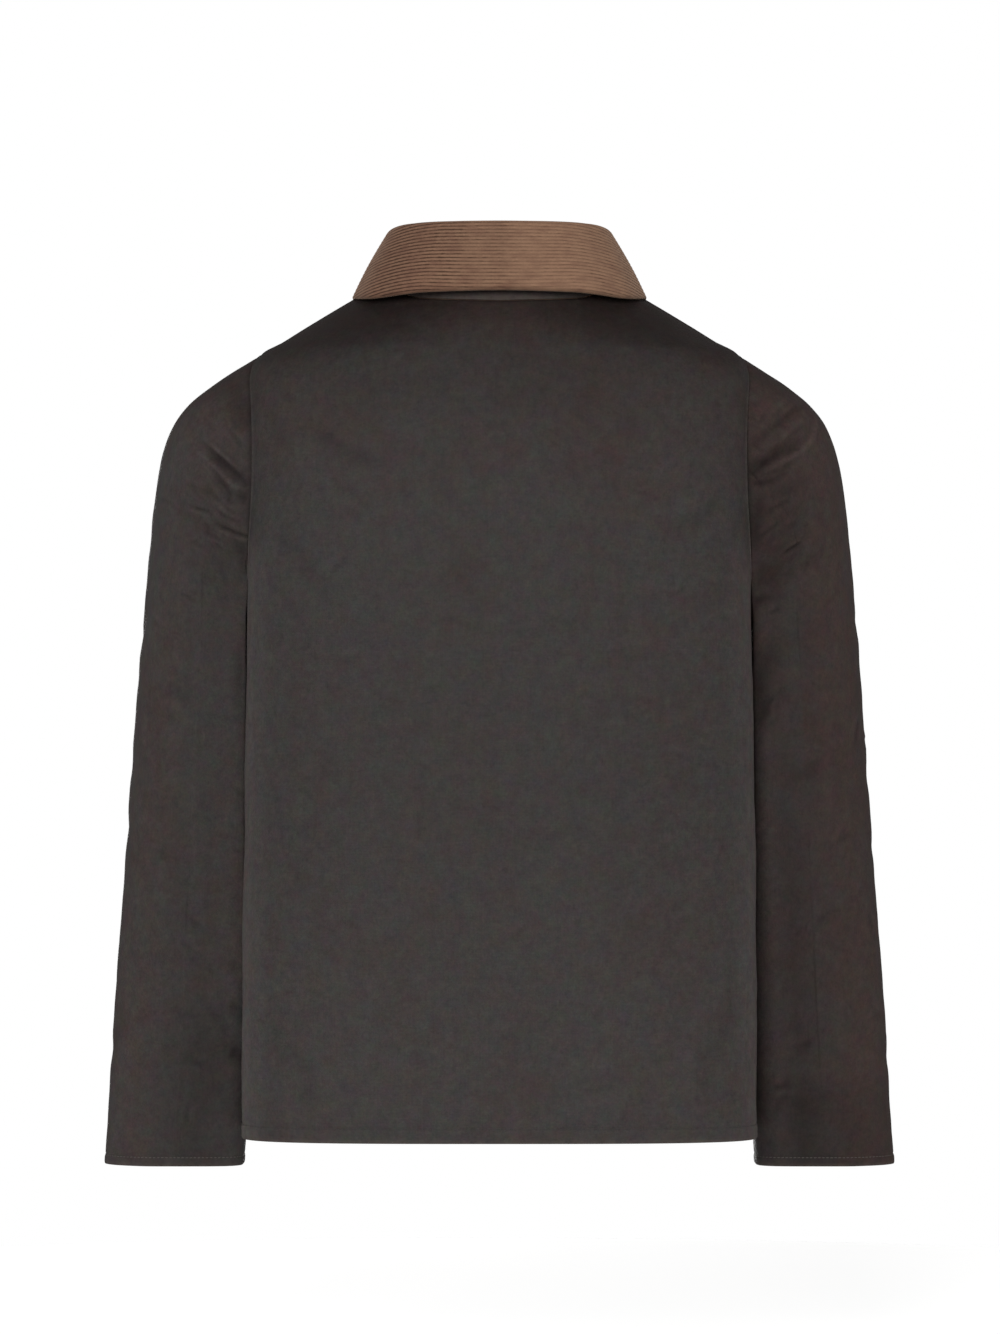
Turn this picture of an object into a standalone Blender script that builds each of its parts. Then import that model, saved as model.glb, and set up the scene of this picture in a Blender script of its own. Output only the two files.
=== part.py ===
"""A boxy waxed cotton jacket with a corduroy collar, filled out as if worn, with nobody inside.

Metres. +Z is up, +X is the wearer's left and -Y the wearer's front. The origin is the middle of
the neck hole, 5 mm above the middle of the back neck seam, where a neck holds the jacket up.
"""

import math
from collections import namedtuple

import bmesh
import bpy
from mathutils import Matrix, Vector

# Cloth and seams
CLOTH_WALL = 0.0015
CORDUROY_WALL = 0.0022
SEAM_GAP = 0.0003

# Body
HEM_HEIGHT = -0.6495
NECK_HALF_WIDTH = 0.088
NECK_SIDE_HEIGHT = 0.0135
SHOULDER_HEIGHT = -0.0429
SIDE_SEAM_Y = -0.005
SHOULDER_SEAM_Y = 0.004
TURN_STEP = 0.01
HEIGHT_STEP = 0.002

# Armhole, an upright oval on the side of the body
ARMPIT_HEIGHT = -0.245
ARMHOLE_BACK_REACH = 0.070
ARMHOLE_FRONT_REACH = 0.072

# Lapped front and its buttons
LAP_HALF_WIDTH = 0.020
LAP_LIFT_END = 0.100
LAP_LIFT_START = 0.055
LAP_DEGREES = 180 - math.degrees(math.asin(LAP_HALF_WIDTH / NECK_HALF_WIDTH))
BUTTON_COUNT = 6
BUTTON_RADIUS = 0.009
BUTTON_THICKNESS = 0.0032
BUTTON_RIM = 0.0020
BUTTON_DISH_SLOPE = 0.0007
BUTTON_DISH_DEPTH = 0.0008
BUTTON_SIDES = 20
BUTTON_HOLE_RADIUS = 0.0009
BUTTON_HOLE_OFFSET = 0.0019
BUTTON_HOLE_SIDES = 8
BUTTON_HOLE_CUT = 0.02
TOP_BUTTON_HEIGHT = -0.110
BUTTON_SPACING = 0.098

# Sleeve
CUFF_HEIGHT = -0.6785
SLEEVE_CLEARANCE = 0.004
SLEEVE_RADIUS = 0.06
SLEEVE_MIDDLE_X = 0.23
SLEEVE_MIDDLE_Y = -0.04
UPPER_ARM_RING_HEIGHT = -0.252
UPPER_ARM_RING_TILT = 0.049
ARM_STEP = 0.02
CLEARANCE_SHARE = 1 / 3
FOLD_START_SHARE = 1 / 4

# Collar
COLLAR_END_ANGLE = 177.0
ROLL_RADIUS = 0.0062
ROLL_TURN = math.radians(150)
STAND_SHARE = 0.95
FALL_CROWN = 0.0012
NECK_STEP_DEGREES = 2

# How finely the cloth is faceted
BODY_COLUMNS = 10
BACK_ROW_BEND = 3.0
FRONT_ROW_BEND = 1.0
SIDE_ROWS = 6
ARMHOLE_ROWS = 12
SHOULDER_ROWS = 3
SLEEVE_TURNS = 2 * ARMHOLE_ROWS
UPPER_SLEEVE_ROWS = 12
LOWER_SLEEVE_ROWS = 9
STAND_ROWS = 2
ROLL_ROWS = 3
FALL_ROWS = 3
SHARP_ANGLE = math.radians(60)

# Level sections of the body, from the hem up to the side of the neck. widest is where the section
# is at its widest, and the powers say how square its back and its front are.
Section = namedtuple("Section", "height half_width back front widest back_power front_power")
BODY = [
    Section(-0.6495, 0.1991, 0.1080, -0.1270, 0.030, 3.4, 2.8),
    Section(-0.4800, 0.1984, 0.1110, -0.1310, 0.030, 3.4, 2.8),
    Section(-0.3300, 0.1960, 0.1150, -0.1340, 0.030, 3.5, 2.8),
    Section(-0.2000, 0.1940, 0.1180, -0.1320, 0.030, 3.5, 2.8),
    Section(-0.1400, 0.1945, 0.1150, -0.1190, 0.029, 3.5, 2.7),
    Section(-0.1000, 0.1952, 0.1090, -0.1010, 0.025, 3.4, 2.6),
    Section(-0.0680, 0.1950, 0.1010, -0.0820, 0.017, 3.3, 2.4),
    Section(-0.0540, 0.1925, 0.0970, -0.0750, 0.010, 3.1, 2.2),
    Section(-0.0429, 0.1850, 0.0930, -0.0690, 0.004, 2.9, 2.0),
    Section(-0.0312, 0.1642, 0.0880, -0.0640, 0.004, 2.5, 2.0),
    Section(-0.0200, 0.1458, 0.0830, -0.0590, 0.004, 2.1, 2.0),
    Section(0.0000, 0.1122, 0.0710, -0.0520, 0.004, 1.8, 1.9),
    Section(0.0135, 0.0880, 0.0600, -0.0470, 0.004, 1.8, 1.9),
]

# The neck seam, from the centre back (0 degrees) past the shoulder seam (90) to the centre front (180).
NeckRow = namedtuple("NeckRow", "angle height")
NECK = [
    NeckRow(0, -0.0050),
    NeckRow(45, -0.0018),
    NeckRow(75, 0.0105),
    NeckRow(90, 0.0135),
    NeckRow(105, 0.0070),
    NeckRow(135, -0.0330),
    NeckRow(160, -0.0640),
    NeckRow(180, -0.0750),
]

# Heights on the centre line of a panel, for each share of its rows from hem to neck.
CentreRow = namedtuple("CentreRow", "share height")
BACK_CENTRE = [
    CentreRow(0.00, HEM_HEIGHT),
    CentreRow(0.29, -0.2900),
    CentreRow(0.55, -0.1500),
    CentreRow(0.86, -0.0450),
    CentreRow(1.00, -0.0050),
]
FRONT_CENTRE = [
    CentreRow(0.00, HEM_HEIGHT),
    CentreRow(0.29, -0.3100),
    CentreRow(0.55, -0.1950),
    CentreRow(0.86, -0.1020),
    CentreRow(1.00, -0.0750),
]

# Level sections of the sleeve from the upper arm to the cuff.
SleeveRow = namedtuple("SleeveRow", "height outer inner middle half_depth power")
SLEEVE = [
    SleeveRow(-0.6785, 0.3122, 0.2022, -0.066, 0.036, 2.2),
    SleeveRow(-0.5650, 0.3048, 0.1940, -0.062, 0.047, 2.2),
    SleeveRow(-0.4250, 0.2946, 0.1890, -0.055, 0.059, 2.2),
    SleeveRow(-0.3000, 0.2852, 0.1850, -0.051, 0.068, 2.2),
    SleeveRow(-0.2000, 0.2762, 0.1800, -0.046, 0.074, 2.2),
]

# How the sleeve leaves the armhole, at four places round it. The turn is 0 at the back, 90 at the
# shoulder, 180 at the front and 270 under the arm. leave is the reach of the curve at the seam,
# arrive its reach at the upper arm.
LeaveRow = namedtuple("LeaveRow", "turn across forward up leave arrive")
SLEEVE_HEAD = [
    LeaveRow(0, 0.86, -0.30, -0.42, 0.060, 0.060),
    LeaveRow(90, 0.85, -0.05, -0.52, 0.086, 0.117),
    LeaveRow(180, 0.72, -0.52, -0.42, 0.060, 0.060),
    LeaveRow(270, 0.93, -0.20, -0.28, 0.016, 0.024),
]

# The large soft folds that run from the sleeve towards the armpit, on each sleeve. Turns are in
# degrees round the sleeve, drops in metres down from the shoulder point.
Fold = namedtuple("Fold", "start_turn start_drop end_turn end_drop half_width depth")
FOLD_END_SHARE = 0.35
FOLD_RISE_SHARE = 1 / 3
SLEEVE_FOLDS = {
    "left": [
        Fold(38, 0.070, -18, 0.112, 0.011, 0.0040),
        Fold(44, 0.118, -14, 0.146, 0.009, 0.0028),
    ],
    "right": [
        Fold(62, 0.048, 0, 0.104, 0.012, 0.0040),
        Fold(40, 0.158, -12, 0.172, 0.009, 0.0025),
    ],
}

# The collar from the centre back to its front end: the top of its inner leg and its outer edge.
CollarRow = namedtuple("CollarRow", "angle roll_x roll_y roll_z edge_x edge_y edge_z")
COLLAR = [
    CollarRow(0, 0.0000, 0.0540, 0.0490, 0.0000, 0.0880, 0.0027),
    CollarRow(30, 0.0390, 0.0505, 0.0490, 0.0560, 0.0850, 0.0015),
    CollarRow(60, 0.0675, 0.0330, 0.0480, 0.0980, 0.0570, -0.0018),
    CollarRow(75, 0.0750, 0.0180, 0.0465, 0.1095, 0.0310, -0.0006),
    CollarRow(90, 0.0780, 0.0020, 0.0435, 0.1150, 0.0040, 0.0010),
    CollarRow(102, 0.0740, -0.0130, 0.0360, 0.1145, -0.0220, -0.0005),
    CollarRow(116, 0.0695, -0.0290, 0.0235, 0.1105, -0.0500, -0.0120),
    CollarRow(140, 0.0530, -0.0530, -0.0020, 0.0930, -0.0900, -0.0500),
    CollarRow(160, 0.0310, -0.0710, -0.0280, 0.0770, -0.1110, -0.0850),
    CollarRow(180, 0.0040, -0.0850, -0.0420, 0.0600, -0.1210, -0.1100),
]


def mirrored(table, sideways):
    """The table with its rows repeated on the other side, so that curves pass smoothly through 0."""
    other = []
    for row in reversed(table[1:]):
        turned = {name: -getattr(row, name) for name in sideways}
        other.append(row._replace(**turned))
    return other + table


COLLAR_BOTH_SIDES = mirrored(COLLAR, ("angle", "roll_x", "edge_x"))


def end_safe_slopes(places, values):
    """Slopes at the rows of a table, for a smooth curve that never overshoots them."""
    rises = []
    for near, far, low, high in zip(places, places[1:], values, values[1:]):
        rises.append((high - low) / (far - near))
    inner = [2 * a * b / (a + b) if a * b > 0 else 0.0 for a, b in zip(rises, rises[1:])]
    return [rises[0], *inner, rises[-1]]


def between(table, place):
    """A row of the table's own kind at any place along its first column."""
    kind = type(table[0])
    places = [row[0] for row in table]
    place = min(max(place, places[0]), places[-1])
    index = max(i for i in range(len(places) - 1) if places[i] <= place)
    step = places[index + 1] - places[index]
    t = (place - places[index]) / step
    values = [place]
    for column in list(zip(*table))[1:]:
        slopes = end_safe_slopes(places, column)
        start = (1 + 2 * t) * (1 - t) ** 2 * column[index] + t * (1 - t) ** 2 * step * slopes[index]
        end = t * t * (3 - 2 * t) * column[index + 1] - t * t * (1 - t) * step * slopes[index + 1]
        values.append(start + end)
    return kind(*values)


def ease(value):
    """0 below 0, 1 above 1, and smooth between."""
    value = min(max(value, 0.0), 1.0)
    return value * value * (3 - 2 * value)


def body_point(angle, height):
    """A point on the outside of the body. The angle is 0 at the centre back, pi at the centre front."""
    row = between(BODY, height)
    faces_back = math.cos(angle) >= 0
    power = row.back_power if faces_back else row.front_power
    depth = row.back - row.widest if faces_back else row.widest - row.front
    reach = (abs(math.sin(angle)) ** power + abs(math.cos(angle)) ** power) ** (-1 / power)
    x = row.half_width * reach * math.sin(angle)
    y = row.widest + depth * reach * math.cos(angle)
    return Vector((x, y, height))


def body_half_width(y, height):
    """How far out the side of the body is at this y."""
    row = between(BODY, height)
    power = row.back_power if y >= row.widest else row.front_power
    depth = row.back - row.widest if y >= row.widest else row.widest - row.front
    share = min(abs(y - row.widest) / depth, 1.0)
    return row.half_width * (1 - share**power) ** (1 / power)


def angle_at_y(y, height):
    """The body angle, on the side, of a place with this y."""
    row = between(BODY, height)
    depth = row.back - row.widest if y >= row.widest else row.widest - row.front
    return math.atan2(body_half_width(y, height) / row.half_width, (y - row.widest) / depth)


def angle_at_x(x, height, faces_back):
    """The body angle of a place with this x, on the back or on the front."""
    row = between(BODY, height)
    power = row.back_power if faces_back else row.front_power
    share = min(abs(x) / row.half_width, 1.0)
    forward = (1 - share**power) ** (1 / power)
    return math.atan2(math.copysign(share, x), forward if faces_back else -forward)


def armhole_point(turn, inset=0.0):
    """The armhole seam as a point (y, z). The turn is 0 at the back and pi / 2 at the shoulder."""
    half_height = (SHOULDER_HEIGHT - ARMPIT_HEIGHT) / 2
    middle = (SHOULDER_HEIGHT + ARMPIT_HEIGHT) / 2
    reach = ARMHOLE_BACK_REACH if math.cos(turn) >= 0 else ARMHOLE_FRONT_REACH
    z = middle + (half_height - inset) * math.sin(turn)
    lean = SIDE_SEAM_Y + (SHOULDER_SEAM_Y - SIDE_SEAM_Y) * (1 + math.sin(turn)) / 2
    return lean + (reach - inset) * math.cos(turn), z


def neck_point(degrees):
    """The neck seam on the wearer's left, as a body angle and a height."""
    height = between(NECK, degrees).height
    x = NECK_HALF_WIDTH * math.sin(math.radians(degrees))
    return angle_at_x(x, height, degrees <= 90), height


def panel_edge(row, faces_back):
    """The panel's outer edge: the side seam, then the armhole, then the shoulder seam."""
    if row <= SIDE_ROWS:
        height = HEM_HEIGHT + (ARMPIT_HEIGHT - HEM_HEIGHT) * row / SIDE_ROWS
        return angle_at_y(SIDE_SEAM_Y, height), height
    if row < SIDE_ROWS + ARMHOLE_ROWS:
        turn = math.pi * ((row - SIDE_ROWS) / ARMHOLE_ROWS - 0.5)
        y, height = armhole_point(turn if faces_back else math.pi - turn)
        return angle_at_y(y, height), height
    share = (row - SIDE_ROWS - ARMHOLE_ROWS) / SHOULDER_ROWS
    return math.pi / 2, SHOULDER_HEIGHT + (NECK_SIDE_HEIGHT - SHOULDER_HEIGHT) * share


def blend(low, high, share, bend):
    """From low to high. A bend above 1 stays near low until close to the end."""
    return low + (high - low) * share**bend


def rise_above_blend(top, share, bend):
    """How far the top edge stands above a plain blend of its ends, at a share of the way round."""
    (first_angle, first_height), (last_angle, last_height) = top[0], top[-1]
    shares = []
    rises = []
    for angle, height in top:
        at = (angle - first_angle) / (last_angle - first_angle)
        shares.append(at)
        rises.append(height - blend(first_height, last_height, at, bend))
    index = max(i for i in range(len(top) - 1) if shares[i] <= max(share, 0.0))
    part = (share - shares[index]) / (shares[index + 1] - shares[index])
    return rises[index] + (rises[index + 1] - rises[index]) * part


def fill_patch(bottom, top, inner, outer, bend):
    """A grid of (angle, height) places between four edges, each a list of places.

    The bottom is level. The rows between arch more and more like the top edge.
    """
    columns = len(bottom) - 1
    rows = len(inner) - 1
    grid = []
    for j in range(rows + 1):
        v = j / rows
        inner_angle, inner_height = inner[j]
        outer_angle, outer_height = outer[j]
        line = []
        for i in range(columns + 1):
            u = i / columns
            angle = blend(inner_angle, outer_angle, u, 1)
            angle += (1 - v) * (bottom[i][0] - blend(bottom[0][0], bottom[-1][0], u, 1))
            angle += v * (top[i][0] - blend(top[0][0], top[-1][0], u, 1))
            share = (angle - inner_angle) / (outer_angle - inner_angle)
            height = blend(inner_height, outer_height, share, bend)
            line.append((angle, height + v * rise_above_blend(top, share, bend)))
        grid.append(line)
    return grid


def back_half_places():
    """Places on the wearer's left half of the back, from the centre line to the outer edge."""
    rows = SIDE_ROWS + ARMHOLE_ROWS + SHOULDER_ROWS
    outer = [panel_edge(j, True) for j in range(rows + 1)]
    inner = [(0.0, between(BACK_CENTRE, j / rows).height) for j in range(rows + 1)]
    bottom = [(outer[0][0] * i / BODY_COLUMNS, HEM_HEIGHT) for i in range(BODY_COLUMNS + 1)]
    top = [neck_point(90 * i / BODY_COLUMNS) for i in range(BODY_COLUMNS + 1)]
    return fill_patch(bottom, top, inner, outer, BACK_ROW_BEND)


def front_places():
    """Places on the wearer's left front, from its lapped edge past the centre to the outer edge."""
    rows = SIDE_ROWS + ARMHOLE_ROWS + SHOULDER_ROWS
    columns = BODY_COLUMNS - 2
    outer = [panel_edge(j, False) for j in range(rows + 1)]
    lap_rise = neck_point(LAP_DEGREES)[1] - FRONT_CENTRE[-1].height
    centre = []
    inner = []
    for j in range(rows + 1):
        height = between(FRONT_CENTRE, j / rows).height
        centre.append((math.pi, height))
        height += lap_rise * ease(j / rows)
        inner.append((angle_at_x(LAP_HALF_WIDTH, height, False), height))
    bottom = []
    top = []
    for i in range(columns + 1):
        share = i / columns
        bottom.append((inner[0][0] + (outer[0][0] - inner[0][0]) * share, HEM_HEIGHT))
        top.append(neck_point(LAP_DEGREES + (90 - LAP_DEGREES) * share))
    inner[-1] = top[0]
    patch = fill_patch(bottom, top, inner, outer, FRONT_ROW_BEND)
    places = []
    for middle, line in zip(centre, patch):
        angle, height = line[0]
        places.append([(2 * math.pi - angle, height), middle, *line])
    return places


def sleeve_section_point(turn, height):
    """A point on the sleeve's level section, kept clear of the side of the body."""
    row = between(SLEEVE, height)
    sine = math.sin(turn)
    cosine = math.cos(turn)
    reach = (abs(sine) ** row.power + abs(cosine) ** row.power) ** (-1 / row.power)
    x = (row.outer + row.inner) / 2 + (row.outer - row.inner) / 2 * reach * sine
    y = row.middle + row.half_depth * reach * cosine
    x = max(x, body_half_width(y, max(height, HEM_HEIGHT)) + SLEEVE_CLEARANCE)
    return Vector((x, y, height))


def sleeve_head_row(turn):
    """How the sleeve leaves the armhole at this turn, smoothly between the table's rows."""
    degrees = math.degrees(turn) % 360
    table = [SLEEVE_HEAD[-1]._replace(turn=-90)] + SLEEVE_HEAD + [SLEEVE_HEAD[0]._replace(turn=360)]
    low = max((row for row in table if row.turn <= degrees), key=lambda row: row.turn)
    high = min((row for row in table if row.turn > degrees), key=lambda row: row.turn)
    share = ease((degrees - low.turn) / (high.turn - low.turn))
    return LeaveRow(*((1 - share) * a + share * b for a, b in zip(low, high)))


def sleeve_place(degrees, drop):
    """A place on the sleeve laid flat: the way round it and the way down it."""
    return Vector((math.radians(degrees) * SLEEVE_RADIUS, drop))


def fold_depth(turn, drop, folds):
    """How deep the soft folds press in at this place. Each fold is shallower towards its ends."""
    here = sleeve_place((math.degrees(turn) + 90) % 360 - 90, drop)
    total = 0.0
    for fold in folds:
        start = sleeve_place(fold.start_turn, fold.start_drop)
        run = sleeve_place(fold.end_turn, fold.end_drop) - start
        share = min(max((here - start).dot(run) / run.length_squared, 0.0), 1.0)
        distance = (here - start - run * share).length
        fade = ease(FOLD_END_SHARE + min(share, 1 - share) / FOLD_RISE_SHARE)
        total += fold.depth * fade * math.exp(-((distance / fold.half_width) ** 2))
    return total


def sleeve_point(turn, row, folds):
    """A point of the left sleeve, on the given row down from the armhole.

    Down to the upper arm each line is a curve with four control points; below it the line follows
    the level sections.
    """
    tilt = UPPER_ARM_RING_TILT * math.sin(turn)
    ring_height = UPPER_ARM_RING_HEIGHT + tilt
    if row > UPPER_SLEEVE_ROWS:
        share = (row - UPPER_SLEEVE_ROWS) / LOWER_SLEEVE_ROWS
        return sleeve_section_point(turn, ring_height + (CUFF_HEIGHT - ring_height) * share)
    y, z = armhole_point(turn, SEAM_GAP)
    seam = Vector((body_half_width(y, z), y, z))
    ring = sleeve_section_point(turn, ring_height)
    below = sleeve_section_point(turn, ring_height - ARM_STEP)
    head = sleeve_head_row(turn)
    leave = seam + Vector((head.across, head.forward, head.up)).normalized() * head.leave
    arrive = ring + (ring - below).normalized() * head.arrive
    t = row / UPPER_SLEEVE_ROWS
    point = seam * (1 - t) ** 3 + ring * t**3
    point += leave * (3 * t * (1 - t) ** 2) + arrive * (3 * t * t * (1 - t))
    clear = body_half_width(point.y, point.z) + SLEEVE_CLEARANCE * ease(t / CLEARANCE_SHARE)
    point.x = max(point.x, clear)
    middle = Vector((SLEEVE_MIDDLE_X, SLEEVE_MIDDLE_Y, point.z))
    inward = (middle - point).normalized() * ease(t / FOLD_START_SHARE)
    return point + inward * fold_depth(turn, SHOULDER_HEIGHT - point.z, folds)


def neck_seam(degrees):
    """The top edge of the panels at a place round the neck, on the lapped front where it laps."""
    angle, height = neck_point(abs(degrees))
    angle = math.copysign(angle, degrees)
    point = body_point(angle, height)
    if point.x > -LAP_HALF_WIDTH - SEAM_GAP and abs(degrees) > 90:
        point = point + body_outward(angle, height) * lap_lift(point)
    return point + Vector((0, 0, SEAM_GAP))


def collar_roll(degrees):
    """The top of the collar's inner leg."""
    row = between(COLLAR_BOTH_SIDES, degrees)
    return Vector((row.roll_x, row.roll_y, row.roll_z))


def collar_leg(degrees):
    """The collar's inner leg: its foot, its top, the way up it, the way out of it and the way round."""
    seam = neck_seam(degrees)
    roll = collar_roll(degrees)
    near = max(degrees - NECK_STEP_DEGREES, -180)
    far = min(degrees + NECK_STEP_DEGREES, 180)
    along = neck_seam(far) - neck_seam(near) + collar_roll(far) - collar_roll(near)
    up = (roll - seam).normalized()
    outward = up.cross(along).normalized()
    foot = seam - outward * (CORDUROY_WALL + SEAM_GAP + CLOTH_WALL)
    return foot, roll, up, outward, along.normalized()


def collar_face(degrees):
    """The corduroy's face at one place round the neck: up the leg, over the roll, down the fall."""
    foot, roll, up, outward, _ = collar_leg(degrees)
    row = between(COLLAR_BOTH_SIDES, degrees)
    edge = Vector((row.edge_x, row.edge_y, row.edge_z))
    points = [foot.lerp(roll, k / STAND_ROWS) for k in range(STAND_ROWS + 1)]
    centre = roll + outward * ROLL_RADIUS
    for k in range(1, ROLL_ROWS + 1):
        turn = math.pi - ROLL_TURN * k / ROLL_ROWS
        points.append(centre + (outward * math.cos(turn) + up * math.sin(turn)) * ROLL_RADIUS)
    start = points[-1]
    for k in range(1, FALL_ROWS + 1):
        share = k / FALL_ROWS
        crown = outward * FALL_CROWN * math.sin(math.pi * share)
        points.append(start.lerp(edge, share) + crown)
    return points


def collar_reverse(degrees):
    """The corduroy's other side, straight behind each point of its face."""
    face = collar_face(degrees)
    along = collar_leg(degrees)[-1]
    points = []
    for i, point in enumerate(face):
        path = face[min(i + 1, len(face) - 1)] - face[max(i - 1, 0)]
        points.append(point + path.cross(along).normalized() * CORDUROY_WALL)
    return points


def stand_layer(degrees, depth):
    """The stand at one place round the neck: the leg's own line, moved out past the corduroy."""
    foot, roll, _, outward, _ = collar_leg(degrees)
    out = outward * (CORDUROY_WALL + SEAM_GAP + depth)
    return [foot.lerp(roll, STAND_SHARE * k / STAND_ROWS) + out for k in range(STAND_ROWS + 1)]


def make_material(name, colour, roughness):
    material = bpy.data.materials.new(name)
    material.use_nodes = True
    shader = material.node_tree.nodes["Principled BSDF"]
    shader.inputs["Base Color"].default_value = (*colour, 1.0)
    shader.inputs["Roughness"].default_value = roughness
    return material


def make_object(name, mesh, material):
    mesh.materials.append(material)
    made = bpy.data.objects.new(name, mesh)
    bpy.context.collection.objects.link(made)
    return made


def make_walled_cloth(name, grid, inner_grid, material):
    """One piece of cloth between an outer grid of points and an inner one."""
    shape = bmesh.new()
    layers = [[[shape.verts.new(p) for p in line] for line in points] for points in (grid, inner_grid)]
    outer, inner = layers
    for j in range(len(outer) - 1):
        for i in range(len(outer[0]) - 1):
            shape.faces.new((outer[j][i], outer[j][i + 1], outer[j + 1][i + 1], outer[j + 1][i]))
            shape.faces.new((inner[j][i], inner[j + 1][i], inner[j + 1][i + 1], inner[j][i + 1]))
    outer_rim = rim_of(outer)
    inner_rim = rim_of(inner)
    for k, corner in enumerate(outer_rim):
        after = (k + 1) % len(outer_rim)
        shape.faces.new((corner, inner_rim[k], inner_rim[after], outer_rim[after]))
    mesh = bpy.data.meshes.new(name)
    shape.to_mesh(mesh)
    shape.free()
    mesh.shade_smooth()
    mesh.set_sharp_from_angle(angle=SHARP_ANGLE)
    return make_object(name, mesh, material)


def rim_of(lines):
    """The grid's border, once round."""
    right = [line[-1] for line in lines[1:-1]]
    left = [line[0] for line in lines[1:-1]]
    return lines[0] + right + list(reversed(lines[-1])) + list(reversed(left))


def make_cloth_tube(name, rings, wall, material):
    """A tube of cloth through rings of points, with its wall on the inner side."""
    shape = bmesh.new()
    lines = [[shape.verts.new(point) for point in ring] for ring in rings]
    for low, high in zip(lines, lines[1:]):
        for i in range(len(low)):
            k = (i + 1) % len(low)
            shape.faces.new((low[i], low[k], high[k], high[i]))
    mesh = bpy.data.meshes.new(name)
    shape.to_mesh(mesh)
    shape.free()
    mesh.shade_smooth()
    piece = make_object(name, mesh, material)
    solidify = piece.modifiers.new("Wall", "SOLIDIFY")
    solidify.thickness = wall
    solidify.offset = -1
    return piece


def body_outward(angle, height):
    """The direction straight out of the body's surface."""
    along = body_point(angle + TURN_STEP, height) - body_point(angle - TURN_STEP, height)
    upward = body_point(angle, height + HEIGHT_STEP) - body_point(angle, height - HEIGHT_STEP)
    return upward.cross(along).normalized()


def panel_points(places, distance_at):
    """The panel's points, each moved out of the body by its own distance."""
    grid = []
    for line in places:
        points = []
        for angle, height in line:
            point = body_point(angle, height)
            points.append(point + body_outward(angle, height) * distance_at(point))
        grid.append(points)
    return grid


def flip_x(grid):
    """The same points on the other side of the body."""
    return [[Vector((-point.x, point.y, point.z)) for point in reversed(line)] for line in grid]


def lap_lift(point):
    """How far the upper front stands off the lower one, easing out past the lap."""
    return (CLOTH_WALL + SEAM_GAP) * ease((LAP_LIFT_END - point.x) / (LAP_LIFT_END - LAP_LIFT_START))


def whole_back(half):
    """Both halves of the back in one grid, from the wearer's left edge to the right one."""
    lines = []
    for line, other in zip(half, flip_x(half)):
        lines.append(list(reversed(line))[:-1] + list(reversed(other)))
    return lines


def make_body(waxed):
    """The back and the two lapped fronts."""
    half = back_half_places()
    outside = panel_points(half, lambda point: 0.0)
    inside = panel_points(half, lambda point: -CLOTH_WALL)
    make_walled_cloth("back", whole_back(outside), whole_back(inside), waxed)

    places = front_places()
    over = panel_points(places, lap_lift)
    over_inside = panel_points(places, lambda point: lap_lift(point) - CLOTH_WALL)
    make_walled_cloth("front_left", *drawn_back(over, over_inside), waxed)
    under = panel_points(places, lambda point: 0.0)
    under_inside = panel_points(places, lambda point: -CLOTH_WALL)
    make_walled_cloth("front_right", *(flip_x(grid) for grid in drawn_back(under, under_inside)), waxed)


def drawn_back(*grids):
    """The front's points, with its outer edge drawn back from the side seam and the shoulder seam."""
    for grid in grids:
        for j, line in enumerate(grid):
            if not SIDE_ROWS < j < SIDE_ROWS + ARMHOLE_ROWS:
                line[-1] = line[-1] + (line[-2] - line[-1]).normalized() * SEAM_GAP
    return grids


def make_sleeves(waxed):
    for name, side in (("left", 1), ("right", -1)):
        rings = []
        for row in range(UPPER_SLEEVE_ROWS + LOWER_SLEEVE_ROWS + 1):
            ring = []
            for k in range(SLEEVE_TURNS):
                turn = 2 * math.pi * k / SLEEVE_TURNS
                point = sleeve_point(turn, row, SLEEVE_FOLDS[name])
                ring.append(Vector((side * point.x, point.y, point.z)))
            rings.append(ring if side > 0 else list(reversed(ring)))
        make_cloth_tube("sleeve_" + name, rings, CLOTH_WALL, waxed)


def collar_steps():
    """Places round the neck that meet the corners of the panels below, and the collar's two ends."""
    back = [90 * k / BODY_COLUMNS for k in range(BODY_COLUMNS + 1)]
    front = [90 + (LAP_DEGREES - 90) * k / (BODY_COLUMNS - 2) for k in range(1, BODY_COLUMNS - 1)]
    half = back + front + [COLLAR_END_ANGLE]
    return [-degrees for degrees in reversed(half[1:])] + half


def make_collar(waxed, corduroy):
    steps = collar_steps()
    face = [list(reversed(collar_face(degrees))) for degrees in steps]
    reverse = [list(reversed(collar_reverse(degrees))) for degrees in steps]
    make_walled_cloth("collar_fall", face, reverse, corduroy)
    outside = [list(reversed(stand_layer(degrees, CLOTH_WALL))) for degrees in steps]
    inside = [list(reversed(stand_layer(degrees, 0.0))) for degrees in steps]
    make_walled_cloth("collar_stand", inside, outside, waxed)


def button_mesh():
    """A button's disc, with its middle sunk below a rim."""
    shape = bmesh.new()
    bmesh.ops.create_circle(shape, cap_ends=True, segments=BUTTON_SIDES, radius=BUTTON_RADIUS)
    base = shape.faces[:]
    rim = bmesh.ops.extrude_face_region(shape, geom=base)
    top_verts = [part for part in rim["geom"] if isinstance(part, bmesh.types.BMVert)]
    bmesh.ops.translate(shape, verts=top_verts, vec=(0, 0, BUTTON_THICKNESS))
    top = next(part for part in rim["geom"] if isinstance(part, bmesh.types.BMFace))
    bmesh.ops.inset_region(shape, faces=[top], thickness=BUTTON_RIM)
    bmesh.ops.inset_region(shape, faces=[top], thickness=BUTTON_DISH_SLOPE, depth=-BUTTON_DISH_DEPTH)
    bmesh.ops.recalc_face_normals(shape, faces=shape.faces[:])
    mesh = bpy.data.meshes.new("button")
    shape.to_mesh(mesh)
    shape.free()
    return mesh


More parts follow.
